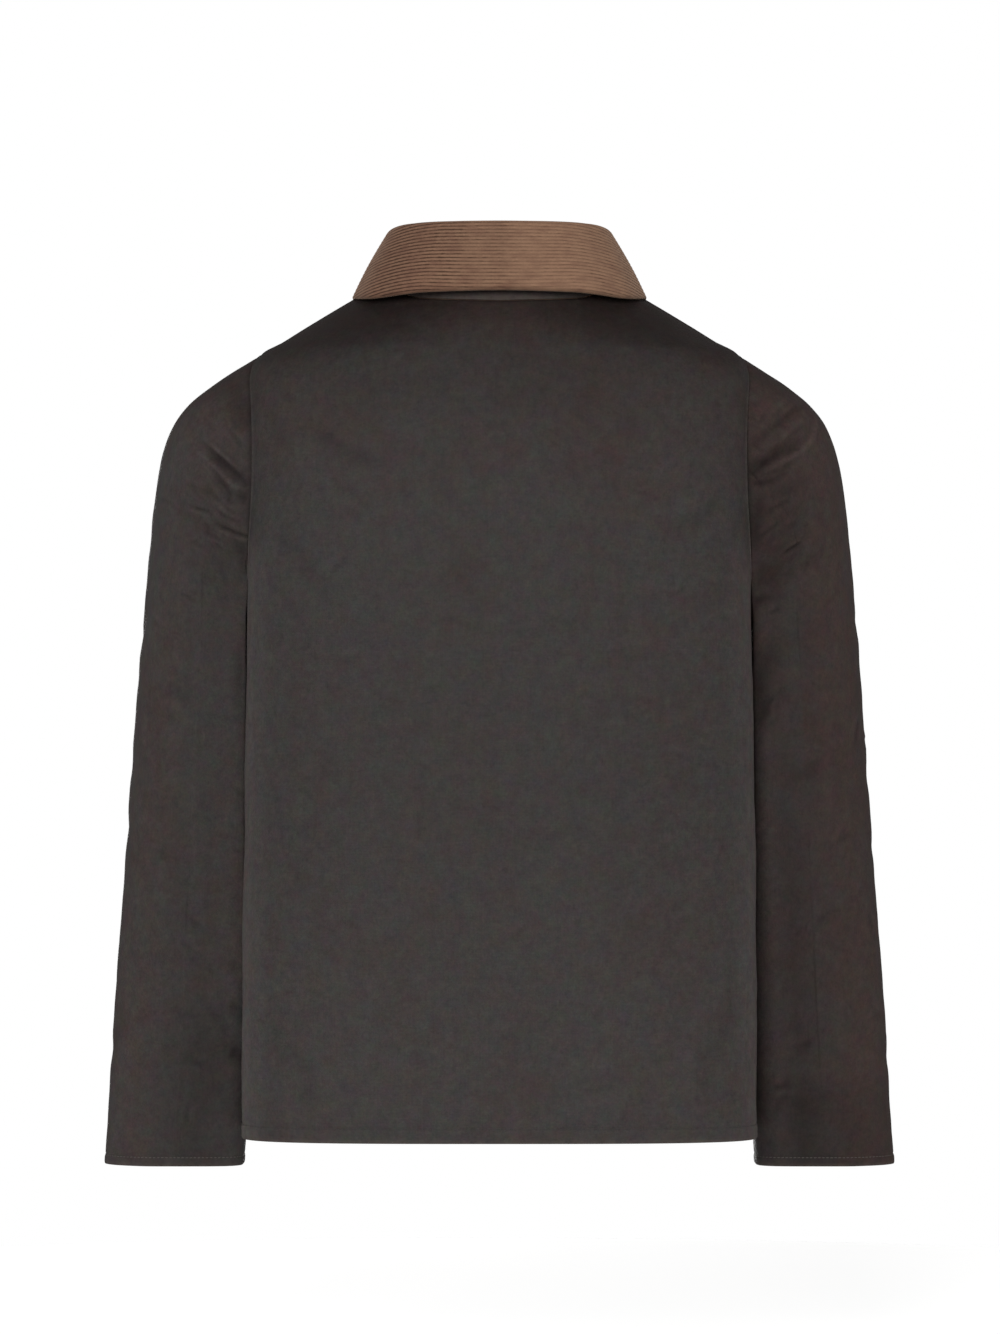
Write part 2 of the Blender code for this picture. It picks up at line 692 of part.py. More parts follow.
def hole_cutter():
    """Four thin rods that cut the button's holes."""
    shape = bmesh.new()
    for across in (-1, 1):
        for up in (-1, 1):
            place = Matrix.Translation((across * BUTTON_HOLE_OFFSET, up * BUTTON_HOLE_OFFSET, 0))
            bmesh.ops.create_cone(shape, cap_ends=True, segments=BUTTON_HOLE_SIDES,
                                  radius1=BUTTON_HOLE_RADIUS, radius2=BUTTON_HOLE_RADIUS,
                                  depth=BUTTON_HOLE_CUT, matrix=place)
    mesh = bpy.data.meshes.new("button_holes")
    shape.to_mesh(mesh)
    shape.free()
    cutter = bpy.data.objects.new("button_holes", mesh)
    bpy.context.collection.objects.link(cutter)
    cutter.hide_render = True
    cutter.display_type = "WIRE"
    return cutter


def make_buttons(resin):
    """The row of buttons, each lying on the upper front and turned to face out of it."""
    mesh = button_mesh()
    mesh.materials.append(resin)
    for k in range(BUTTON_COUNT):
        height = TOP_BUTTON_HEIGHT - k * BUTTON_SPACING
        seat = panel_points([[(math.pi, height)]], lap_lift)[0][0]
        facing = body_outward(math.pi, height)
        across = Vector((1, 0, 0))
        turned = Matrix((across, facing.cross(across), facing)).transposed().to_4x4()
        place = Matrix.Translation(seat + facing * SEAM_GAP) @ turned
        button = bpy.data.objects.new(f"button_{k + 1}", mesh)
        bpy.context.collection.objects.link(button)
        button.matrix_world = place
        cutter = hole_cutter()
        cutter.matrix_world = place
        holes = button.modifiers.new("Holes", "BOOLEAN")
        holes.operation = "DIFFERENCE"
        holes.solver = "EXACT"
        holes.object = cutter


def main():
    for old in list(bpy.data.objects):
        bpy.data.objects.remove(old)
    waxed = make_material("waxed_cotton", (0.052, 0.047, 0.044), 0.62)
    corduroy = make_material("corduroy", (0.168, 0.100, 0.066), 0.85)
    resin = make_material("button_resin", (0.040, 0.026, 0.018), 0.35)
    make_body(waxed)
    make_sleeves(waxed)
    make_collar(waxed, corduroy)
    make_buttons(resin)


main()
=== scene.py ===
import math

import bmesh
import bpy
import numpy as np
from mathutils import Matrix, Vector


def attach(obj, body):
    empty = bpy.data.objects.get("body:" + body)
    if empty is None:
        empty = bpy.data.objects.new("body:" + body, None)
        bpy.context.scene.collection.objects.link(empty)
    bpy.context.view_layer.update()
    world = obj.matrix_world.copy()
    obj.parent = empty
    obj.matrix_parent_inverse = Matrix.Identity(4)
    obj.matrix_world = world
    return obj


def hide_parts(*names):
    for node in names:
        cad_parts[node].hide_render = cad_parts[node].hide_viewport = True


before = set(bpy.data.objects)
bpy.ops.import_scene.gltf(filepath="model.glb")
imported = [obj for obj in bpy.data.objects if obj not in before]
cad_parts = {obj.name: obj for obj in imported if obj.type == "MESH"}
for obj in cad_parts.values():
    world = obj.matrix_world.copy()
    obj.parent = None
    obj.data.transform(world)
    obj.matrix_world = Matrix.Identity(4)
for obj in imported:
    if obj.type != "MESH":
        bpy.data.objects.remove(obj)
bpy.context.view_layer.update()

print("frame loaded:", len(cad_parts), "nodes")

# Everything is in metres. +Z is up, +X the wearer's left, -Y the wearer's front.
cloth = {
    "wall": 0.0015,
    "seamGap": 0.0003,
    "sharpAngle": 55.0,
}

# The body, as level sections from the hem up to the side of the neck
bodyShape = {
    "hem": -0.6495,
    "shoulder": -0.0429,
    "armpit": -0.245,
    "neckSide": 0.0135,
    "neckHalfWidth": 0.088,
    "sideSeamY": -0.005,
    "shoulderSeamY": 0.004,
    "armholeBackReach": 0.070,
    "armholeFrontReach": 0.072,
    "lapHalfWidth": 0.020,
    "lapLiftStart": 0.055,
    "lapLiftEnd": 0.100,
    "backRowBend": 3.0,
    "frontRowBend": 1.0,
    # height, half width, back, front, widest, how square the back is, how square the front is
    "sections": [
        (-0.6495, 0.1991, 0.1080, -0.1270, 0.030, 3.4, 2.8),
        (-0.4800, 0.1984, 0.1110, -0.1310, 0.030, 3.4, 2.8),
        (-0.3300, 0.1960, 0.1150, -0.1340, 0.030, 3.5, 2.8),
        (-0.2000, 0.1940, 0.1180, -0.1320, 0.030, 3.5, 2.8),
        (-0.1400, 0.1945, 0.1150, -0.1190, 0.029, 3.5, 2.7),
        (-0.1000, 0.1952, 0.1090, -0.1010, 0.025, 3.4, 2.6),
        (-0.0680, 0.1950, 0.1010, -0.0820, 0.017, 3.3, 2.4),
        (-0.0540, 0.1925, 0.0970, -0.0750, 0.010, 3.1, 2.2),
        (-0.0429, 0.1850, 0.0930, -0.0690, 0.004, 2.9, 2.0),
        (-0.0312, 0.1642, 0.0880, -0.0640, 0.004, 2.5, 2.0),
        (-0.0200, 0.1458, 0.0830, -0.0590, 0.004, 2.1, 2.0),
        (0.0000, 0.1122, 0.0710, -0.0520, 0.004, 1.8, 1.9),
        (0.0135, 0.0880, 0.0600, -0.0470, 0.004, 1.8, 1.9),
    ],
    # degrees round the neck from the centre back, height of the neck seam
    "neck": [
        (0, -0.0050), (45, -0.0018), (75, 0.0105), (90, 0.0135),
        (105, 0.0070), (135, -0.0330), (160, -0.0640), (180, -0.0750),
    ],
    # share of the way up a panel, height on its centre line
    "backCentre": [(0.00, -0.6495), (0.29, -0.2900), (0.55, -0.1500), (0.86, -0.0450), (1.00, -0.0050)],
    "frontCentre": [(0.00, -0.6495), (0.29, -0.3100), (0.55, -0.1950), (0.86, -0.1020), (1.00, -0.0750)],
    # rows of a panel: side seam, armhole, shoulder seam
    "sideRows": 6,
    "armholeRows": 12,
    "shoulderRows": 3,
}
panelRowCount = bodyShape["sideRows"] + bodyShape["armholeRows"] + bodyShape["shoulderRows"]


def through(table, places):
    # smooth curves through a table's rows that never overshoot them
    table = np.array(table, float)
    at = table[:, 0]
    values = table[:, 1:]
    places = np.clip(np.asarray(places, float), at[0], at[-1])
    rises = np.diff(values, axis=0) / np.diff(at)[:, None]
    together = rises[:-1] * rises[1:]
    total = np.where(together > 0, rises[:-1] + rises[1:], 1.0)
    inner = np.where(together > 0, 2 * together / total, 0.0)
    slopes = np.vstack([rises[:1], inner, rises[-1:]])
    index = np.clip(np.searchsorted(at, places, side="right") - 1, 0, len(at) - 2)
    step = (at[index + 1] - at[index])[..., None]
    t = (places - at[index])[..., None] / step
    start = (1 + 2 * t) * (1 - t) ** 2 * values[index] + t * (1 - t) ** 2 * step * slopes[index]
    end = t * t * (3 - 2 * t) * values[index + 1] - t * t * (1 - t) * step * slopes[index + 1]
    return start + end


def ease(value):
    value = np.clip(value, 0.0, 1.0)
    return value * value * (3 - 2 * value)


def ramp(value, start, over):
    # 0 up to the start, 1 beyond it by `over`, which is below 0 where the ramp falls
    return ease((value - start) / over)


def bump(distance, width):
    return np.exp(-((distance / width) ** 2))


def unit(vectors):
    return vectors / np.maximum(np.linalg.norm(vectors, axis=-1, keepdims=True), 1e-12)


def sectionAt(height):
    return np.moveaxis(through(bodyShape["sections"], height), -1, 0)


def bodyPoint(angle, height):
    angle = np.asarray(angle, float)
    height = np.asarray(height, float)
    halfWidth, back, front, widest, backPower, frontPower = sectionAt(height)
    facesBack = np.cos(angle) >= 0
    power = np.where(facesBack, backPower, frontPower)
    depth = np.where(facesBack, back - widest, widest - front)
    reach = (abs(np.sin(angle)) ** power + abs(np.cos(angle)) ** power) ** (-1 / power)
    x = halfWidth * reach * np.sin(angle)
    y = widest + depth * reach * np.cos(angle)
    return np.stack([x, y, height + 0 * x], -1)


def bodyOutward(angle, height, turnStep=0.01, heightStep=0.002):
    along = bodyPoint(angle + turnStep, height) - bodyPoint(angle - turnStep, height)
    upward = bodyPoint(angle, height + heightStep) - bodyPoint(angle, height - heightStep)
    return unit(np.cross(upward, along))


def bodyHalfWidth(y, height):
    halfWidth, back, front, widest, backPower, frontPower = sectionAt(height)
    power = np.where(y >= widest, backPower, frontPower)
    depth = np.where(y >= widest, back - widest, widest - front)
    share = np.minimum(abs(y - widest) / depth, 1.0)
    return halfWidth * (1 - share ** power) ** (1 / power)


def angleAtY(y, height):
    halfWidth, back, front, widest, _, _ = sectionAt(height)
    depth = np.where(y >= widest, back - widest, widest - front)
    return np.arctan2(bodyHalfWidth(y, height) / halfWidth, (y - widest) / depth)


def angleAtX(x, height, facesBack):
    halfWidth, _, _, _, backPower, frontPower = sectionAt(height)
    power = np.where(facesBack, backPower, frontPower)
    share = np.minimum(abs(x) / halfWidth, 1.0)
    forward = (1 - share ** power) ** (1 / power)
    return np.arctan2(np.copysign(share, x), np.where(facesBack, forward, -forward))


def armholePoint(turn, inset=0.0):
    halfHeight = (bodyShape["shoulder"] - bodyShape["armpit"]) / 2
    middle = (bodyShape["shoulder"] + bodyShape["armpit"]) / 2
    reach = np.where(np.cos(turn) >= 0, bodyShape["armholeBackReach"], bodyShape["armholeFrontReach"])
    lean = bodyShape["shoulderSeamY"] - bodyShape["sideSeamY"]
    y = bodyShape["sideSeamY"] + lean * (1 + np.sin(turn)) / 2 + (reach - inset) * np.cos(turn)
    return y, middle + (halfHeight - inset) * np.sin(turn)


def neckPoint(degrees):
    degrees = np.asarray(degrees, float)
    height = through(bodyShape["neck"], degrees)[..., 0]
    x = bodyShape["neckHalfWidth"] * np.sin(np.radians(degrees))
    return angleAtX(x, height, degrees <= 90), height


def panelEdge(rows, facesBack):
    # the outer edge of a panel: side seam, armhole, shoulder seam
    side, hole = bodyShape["sideRows"], bodyShape["armholeRows"]
    low, high = bodyShape["hem"], bodyShape["armpit"]
    sideHeight = low + (high - low) * np.minimum(rows, side) / side
    turn = math.pi * (np.clip((rows - side) / hole, 0, 1) - 0.5)
    holeY, holeHeight = armholePoint(turn if facesBack else math.pi - turn)
    share = np.maximum(rows - side - hole, 0) / bodyShape["shoulderRows"]
    topHeight = bodyShape["shoulder"] + (bodyShape["neckSide"] - bodyShape["shoulder"]) * share
    onSide = rows <= side
    onHole = rows < side + hole
    height = np.where(onSide, sideHeight, np.where(onHole, holeHeight, topHeight))
    y = np.where(onSide, bodyShape["sideSeamY"], holeY)
    angle = np.where(onHole, angleAtY(y, height), math.pi / 2)
    return angle, height


def fillPatch(shares, rows, top, inner, outer, bend):
    # places between four edges; shares run across the panel, rows from the hem to the neck
    u = shares[None, :]
    v = (rows / panelRowCount)[:, None]
    innerAngle, innerHeight = (part[:, None] for part in inner)
    outerAngle, outerHeight = (part[:, None] for part in outer)
    topAngle, topHeight = top
    straight = topAngle[0] + (topAngle[-1] - topAngle[0]) * shares
    angle = innerAngle + (outerAngle - innerAngle) * u + v * (topAngle - straight)[None, :]
    share = np.clip((angle - innerAngle) / (outerAngle - innerAngle), 0, 1)
    topShare = (topAngle - topAngle[0]) / (topAngle[-1] - topAngle[0])
    rise = topHeight - (topHeight[0] + (topHeight[-1] - topHeight[0]) * topShare ** bend)
    height = innerHeight + (outerHeight - innerHeight) * share ** bend
    return angle, height + v * np.interp(share, topShare, rise)


# How finely the body's cloth is meshed. The bands along hem, neck and outer edge are closer set.
bodyMesh = {
    "hemBand": 0.24, "hemBandRows": 15,
    "sideRows": 74, "armholeRows": 74, "shoulderRows": 24,
    "neckBand": 0.35, "neckBandRows": 8,
    "columns": 56, "edgeBand": 0.045, "edgeBandColumns": 11,
    "lapColumns": 12,
}


def panelRows():
    m = bodyMesh
    side, hole = bodyShape["sideRows"], bodyShape["armholeRows"]
    return np.concatenate([
        np.linspace(0, m["hemBand"], m["hemBandRows"]),
        np.linspace(m["hemBand"], side, m["sideRows"])[1:],
        np.linspace(side, side + hole, m["armholeRows"])[1:],
        np.linspace(side + hole, panelRowCount - m["neckBand"], m["shoulderRows"])[1:],
        np.linspace(panelRowCount - m["neckBand"], panelRowCount, m["neckBandRows"])[1:],
    ])


def panelShares():
    m = bodyMesh
    wide = np.linspace(0, 1 - m["edgeBand"], m["columns"])
    return np.concatenate([wide, np.linspace(1 - m["edgeBand"], 1, m["edgeBandColumns"])[1:]])


def backHalfPlaces():
    rows, shares = panelRows(), panelShares()
    outer = panelEdge(rows, True)
    inner = (0 * rows, through(bodyShape["backCentre"], rows / panelRowCount)[:, 0])
    return fillPatch(shares, rows, neckPoint(90 * shares), inner, outer, bodyShape["backRowBend"])


def frontPlaces():
    # the left front, from its lapped edge past the centre to its outer edge
    rows, shares = panelRows(), panelShares()
    v = rows / panelRowCount
    half = bodyShape["lapHalfWidth"]
    centre = through(bodyShape["frontCentre"], v)[:, 0]

    def lapColumn(w):
        degrees = 180 - math.degrees(math.asin(half * abs(w) / bodyShape["neckHalfWidth"]))
        rise = neckPoint(degrees)[1] - bodyShape["frontCentre"][-1][1]
        height = centre + rise * ease(v)
        angle = angleAtX(half * abs(w), height, False)
        return (angle if w >= 0 else 2 * math.pi - angle), height

    lapDegrees = 180 - math.degrees(math.asin(half / bodyShape["neckHalfWidth"]))
    top = neckPoint(lapDegrees + (90 - lapDegrees) * shares)
    patch = fillPatch(shares, rows, top, lapColumn(1.0), panelEdge(rows, False), bodyShape["frontRowBend"])
    lap = [lapColumn(w) for w in np.linspace(-1, 1, bodyMesh["lapColumns"])[:-1]]
    lapAngle = np.stack([angle for angle, _ in lap], 1)
    lapHeight = np.stack([height for _, height in lap], 1)
    return np.hstack([lapAngle, patch[0]]), np.hstack([lapHeight, patch[1]])


def lapLift(points):
    start, end = bodyShape["lapLiftStart"], bodyShape["lapLiftEnd"]
    return (cloth["wall"] + cloth["seamGap"]) * ease((end - points[..., 0]) / (end - start))


def lengthAlong(points, axis):
    # distance walked over a grid of points along one of its axes
    steps = np.linalg.norm(np.diff(points, axis=axis), axis=-1)
    start = np.zeros_like(np.take(steps, [0], axis=axis))
    return np.concatenate([start, np.cumsum(steps, axis=axis)], axis=axis)


def gridOutward(points, closed=False):
    if closed:
        along = np.roll(points, -1, 1) - np.roll(points, 1, 1)
    else:
        along = np.gradient(points, axis=1)
    return unit(np.cross(along, np.gradient(points, axis=0)))


def cloudy(a, b, size, seed):
    # a smooth random field between about -1 and 1
    draw = np.random.default_rng(seed)
    total = 0
    for _ in range(12):
        turn = draw.uniform(0, math.pi)
        wave = size * draw.uniform(0.7, 1.6)
        phase = draw.uniform(0, 2 * math.pi)
        total = total + np.sin((a * math.cos(turn) + b * math.sin(turn)) * 2 * math.pi / wave + phase)
    return total / 5


# What all creases share
creaseForm = {
    # the ridges beside a crease: height, how far off and how wide, the last two in widths of the crease
    "ridges": ((1.0, 1.8, 1.1), (0.4, -1.9, 1.2)),
    # how soon it fades in at its ends, and as the cloth turns the way it is seen from
    "ends": 0.1,
    "facing": (0.05, 0.45),
    "pinchWidth": 0.0012,
    # the depth that gives the full painted shade: of a pinch in metres, of a plain crease in millimetres
    "pinchShade": 0.0011,
    "plainShade": 3.0,
}


def crease(seen, width, depth, *line, tone=None, ridge=0.35, fade=(0.3, 0.3), pinch=0, spread=1.0):
    # width, depth, pinch and the places on its line in millimetres; a plain one's painted shade is as dark as it
    # is deep
    return {
        "seen": seen, "line": [(a / 1000, b / 1000) for a, b in line],
        "width": width / 1000, "depth": depth / 1000, "pinch": pinch / 1000,
        "tone": depth / creaseForm["plainShade"] if tone is None else tone,
        "ridge": ridge, "fade": fade, "spread": spread,
    }


def creaseField(points, outward, creases):
    # how far the creases lift the cloth, and the painted shade in their troughs and painted highlights on their
    # ridges
    lift = np.zeros(points.shape[:-1])
    tone = np.zeros(points.shape[:-1])
    form = creaseForm
    for one in creases:
        facing, flat = creaseSides[one["seen"]]
        here = points[..., flat]
        line = np.array(one["line"])
        steps = np.linalg.norm(np.diff(line, axis=0), axis=1)
        walked = np.concatenate([[0], np.cumsum(steps)])
        best = np.full(here.shape[:-1], np.inf)
        side = np.zeros(here.shape[:-1])
        place = np.zeros(here.shape[:-1])
        for k in range(len(line) - 1):
            run = line[k + 1] - line[k]
            away = here - line[k]
            t = np.clip((away @ run) / (run @ run), 0, 1)
            off = away - t[..., None] * run
            distance = np.linalg.norm(off, axis=-1)
            signed = (run[0] * off[..., 1] - run[1] * off[..., 0]) / np.linalg.norm(run)
            nearer = distance < best
            best = np.where(nearer, distance, best)
            side = np.where(nearer, signed, side)
            place = np.where(nearer, (walked[k] + t * steps[k]) / walked[-1], place)
        width = one["width"] * (1 + (one["spread"] - 1) * place)
        fadeIn, fadeOut = one["fade"]
        fade = ease(place / fadeIn + form["ends"]) * ease((1 - place) / fadeOut + form["ends"])
        fade = fade * ramp(outward @ np.array(facing), *form["facing"])
        shape = -bump(best, width)
        for height, off, wide in form["ridges"]:
            shape = shape + height * one["ridge"] * bump(side - off * width, wide * width)
        # the cloth is pinched to a line at the bottom of a sharp crease
        pinch = one["pinch"] * bump(best, form["pinchWidth"])
        lift = lift + fade * (one["depth"] * shape - pinch)
        tone = tone + fade * (one["tone"] * shape - pinch / form["pinchShade"])
    return lift, tone


smallCreaseForm = {
    "bow": 0.05, "strength": (0.4, 1.0), "width": (0.0012, 0.0026), "ridge": (0.5, 1.2), "spread": (0.7, 1.8),
    "fade": (0.35, 0.35),
    # how dark the painted shade is for each metre of depth, and the darkest
    "dark": 900, "darkest": 0.75,
}


def smallCreases(seen, count, area, slope, length, depth, seed):
    # short uneven creases over an area of the two coordinates; slope is their mean angle and its spread
    form = smallCreaseForm
    draw = np.random.default_rng(seed)
    made = []
    for _ in range(count):
        a, b = draw.uniform(area[0], area[1]), draw.uniform(area[2], area[3])
        turn = math.radians(draw.normal(*slope))
        long = draw.uniform(*length)
        bow = draw.normal(0, form["bow"]) * long
        run = np.array([math.cos(turn), math.sin(turn)]) * long / 2
        aside = np.array([-math.sin(turn), math.cos(turn)]) * bow
        middle = np.array([a, b])
        strength = draw.uniform(*form["strength"])
        made.append({
            "seen": seen, "line": [tuple(middle - run), tuple(middle + aside), tuple(middle + run)],
            "width": draw.uniform(*form["width"]), "depth": depth * strength, "pinch": 0.0,
            "tone": min(form["dark"] * depth, form["darkest"]) * strength,
            "ridge": draw.uniform(*form["ridge"]), "spread": draw.uniform(*form["spread"]), "fade": form["fade"],
        })
    return made


def scattered(kinds):
    return [one for kind in kinds for one in smallCreases(*kind)]


# which way a crease faces, and which two coordinates its line is given in
creaseSides = {
    "back": ((0, 1, 0), [0, 2]),
    "front": ((0, -1, 0), [0, 2]),
    "left": ((1, 0, 0), [1, 2]),
    "right": ((-1, 0, 0), [1, 2]),
}


def makeSheet(name, points, closed, wall, layers, inner=None):
    # layers holds the map in metres and the masks that the cloth's material reads
    rows, columns = points.shape[:2]
    index = np.arange(rows * columns).reshape(rows, columns)
    nextIndex = np.roll(index, -1, 1) if closed else index[:, 1:]
    firstIndex = index if closed else index[:, :-1]
    quads = np.stack([firstIndex[:-1], nextIndex[:-1], nextIndex[1:], firstIndex[1:]], -1).reshape(-1, 4)
    vertices = points.reshape(-1, 3)
    mesh = bpy.data.meshes.new(name)
    mapU, mapV = layers["map"]
    last = mapU[:, :1] + layers["round"][:, None] if closed else None
    wide = np.hstack([mapU, last]) if closed else mapU
    tall = np.hstack([mapV, mapV[:, :1]]) if closed else mapV
    corners = [(0, 0), (0, 1), (1, 1), (1, 0)]
    span = columns if closed else columns - 1
    mapped = []
    for down, over in corners:
        block = np.s_[down:rows - 1 + down, over:span + over]
        mapped.append(np.stack([wide[block], tall[block]], -1).reshape(-1, 2))
    mapped = np.stack(mapped, 1)
    masks = {key: value.reshape(-1) for key, value in layers["masks"].items()}
    if inner is not None:
        count = len(vertices)
        border = borderOf(index)
        rim = np.array([(a, a + count, b + count, b) for a, b in zip(border, border[1:] + border[:1])])
        vertices = np.vstack([vertices, inner.reshape(-1, 3)])
        flatMap = np.stack([mapU, mapV], -1).reshape(-1, 2)
        mapped = np.concatenate([mapped, mapped[:, ::-1], flatMap[rim % count]])
        quads = np.concatenate([quads, quads[:, ::-1] + count, rim])
        masks = {key: np.concatenate([value, value]) for key, value in masks.items()}
    mesh.from_pydata(vertices.tolist(), [], quads.tolist())
    mesh.uv_layers.new(name="cloth").data.foreach_set("uv", mapped.astype(np.float32).ravel())
    for key, value in masks.items():
        mesh.attributes.new(key, "FLOAT", "POINT").data.foreach_set("value", value.astype(np.float32))
    piece = newPiece(name, mesh)
    activate(piece)
    if inner is None:
        applyModifier(piece, "SOLIDIFY", thickness=wall, offset=-1)
    bpy.ops.object.shade_smooth_by_angle(angle=math.radians(cloth["sharpAngle"]))
    return piece


def borderOf(index):
    right = index[1:-1, -1].tolist()
    left = index[1:-1, 0].tolist()
    return index[0].tolist() + right + index[-1][::-1].tolist() + left[::-1]


def newPiece(name, data):
    piece = bpy.data.objects.new(name, data)
    bpy.context.collection.objects.link(piece)
    return piece


def deselectAll():
    bpy.ops.object.select_all(action="DESELECT")


def activate(piece):
    deselectAll()
    piece.select_set(True)
    bpy.context.view_layer.objects.active = piece


def applyModifier(piece, kind, **settings):
    modifier = piece.modifiers.new(kind.lower(), kind)
    for key, value in settings.items():
        setattr(modifier, key, value)
    bpy.ops.object.modifier_apply(modifier=modifier.name)


def joinAll(pieces):
    activate(pieces[0])
    for piece in pieces:
        piece.select_set(True)
    bpy.ops.object.join()
    return bpy.context.object


def mirrored(points):
    # the other side's grid, turned round so that it still faces out
    return points[:, ::-1] * np.array([-1, 1, 1])


# Hems, seams and the slow unevenness of the cloth
finish = {
    "hemDepth": 0.011, "hemRise": 0.00045, "hemGroove": 0.00045, "hemGrooveWidth": 0.0011,
    "hemStep": 0.0012, "hemStepPast": 0.0004,
    "cuffDepth": 0.0072,
    "pucker": 0.00022, "puckerLength": 0.011,
    "edgeRound": 0.0005, "edgeRoundWidth": 0.0009,
    "seamRidge": 0.00075, "seamRidgeAt": 0.0021, "seamRidgeWidth": 0.0015,
    "seamDip": 0.0003, "seamDipWidth": 0.0007, "neckDip": 0.0008, "neckDipWidth": 0.0012,
    "sleeveSink": 0.0007, "sleeveSinkWidth": 0.0035, "shoulderPull": 0.0019, "shoulderPullSize": 0.016,
    "unevenness": 0.0006, "unevennessSize": 0.11,
    "crumple": 0.00022, "crumpleSize": 0.028,
    "wornEdge": 0.0022,
    # how near hem, neck and outer edge the cloth begins to lie still, and from where beside the lap
    "stillHem": 0.03, "stillNeck": 0.02, "stillOuter": 0.012, "stillLap": (0.05, 0.04),
    # below the armpit a seam stands up less: what is left of its height, and where it comes back
    "lowSeam": 0.35, "lowSeamOver": 0.012,
    # how light a seam's ridge is made, a painted highlight on the proud ridge with wax rubbed there too:
    # everywhere, more lower down, and by how much it varies
    "rubbedAndLit": (0.45, 0.35, 0.2), "rubbedLow": (-0.130, -0.06), "rubbedSize": 0.05,
    "rubbedAt": 0.0014, "rubbedWidth": 0.0018,
}


def hemProfile(distance, along, depth, seed, loose=1.0):
    # loose is 0 where a seam crosses the hem, so that its two edges stay together
    f = finish
    folded = ramp(distance, depth + f["hemStepPast"], -f["hemStep"])
    groove = bump(distance - depth, f["hemGrooveWidth"])
    pull = cloudy(along, distance * 0.2, f["puckerLength"], seed) * loose
    lift = f["hemRise"] * folded - f["hemGroove"] * groove * (1 + 0.5 * pull)
    lift = lift + f["pucker"] * pull * bump(distance - depth * 0.9, depth * 0.7)
    return lift - f["edgeRound"] * bump(distance, f["edgeRoundWidth"])


def seamProfile(distance):
    f = finish
    ridge = f["seamRidge"] * bump(distance - f["seamRidgeAt"], f["seamRidgeWidth"])
    return ridge - f["seamDip"] * bump(distance, f["seamDipWidth"])


def unevenLift(a, b, seed):
    f = finish
    slow = f["unevenness"] * cloudy(a, b, f["unevennessSize"], seed)
    return slow + f["crumple"] * cloudy(a, b, f["crumpleSize"], seed + 1)


# Creases of the body. A place is x and z on the back and the front, y and z on the sides.
bodyCreases = {
    "back": [
        crease("back", 7, 0.7, (150, -98), (120, -122), (85, -131)),
        crease("back", 6, 0.6, (178, -180), (150, -205), (128, -240)),
        crease("back", 6, 0.6, (-172, -150), (-150, -176), (-118, -188)),
        crease("back", 5, 0.3, (-60, -245), (-20, -262), (10, -256)),
        crease("back", 8, 0.6, (184, -560), (150, -590), (140, -628)),
        crease("back", 8, 0.6, (-186, -540), (-160, -585), (-155, -625)),
    ],
    "front_left": [
        crease("front", 8, 1.2, (168, -135), (140, -160), (105, -172)),
        crease("front", 8, 0.9, (172, -205), (148, -232), (125, -275)),
        crease("front", 7, 0.6, (150, -430), (120, -452), (98, -447)),
        crease("front", 9, 0.8, (165, -575), (130, -602), (110, -632)),
    ],
    "front_right": [
        crease("front", 9, 1.1, (-172, -120), (-150, -150), (-120, -166)),
        crease("front", 8, 1, (-170, -222), (-150, -262), (-142, -310)),
        crease("front", 8, 0.6, (-148, -470), (-118, -486), (-90, -480)),
        crease("front", 9, 0.7, (-160, -590), (-128, -606), (-105, -640)),
    ],
}


smallBodyCreases = {
    "back": [
        ("back", 34, (-0.185, 0.185, -0.630, -0.090), (0, 60), (0.010, 0.030), 0.00022, 221),
        ("back", 8, (0.120, 0.190, -0.230, -0.090), (42, 10), (0.008, 0.022), 0.00030, 222),
        ("back", 8, (-0.190, -0.120, -0.230, -0.090), (-42, 10), (0.008, 0.022), 0.00030, 223),
    ],
    "front_left": [
        ("front", 20, (0.060, 0.180, -0.620, -0.130), (0, 60), (0.012, 0.034), 0.00040, 224),
        ("front", 8, (0.120, 0.185, -0.230, -0.100), (42, 12), (0.010, 0.024), 0.00050, 225),
    ],
    "front_right": [
        ("front", 20, (-0.180, -0.060, -0.620, -0.130), (0, 60), (0.012, 0.034), 0.00040, 226),
        ("front", 8, (-0.185, -0.120, -0.230, -0.100), (-42, 12), (0.010, 0.024), 0.00050, 227),
    ],
}


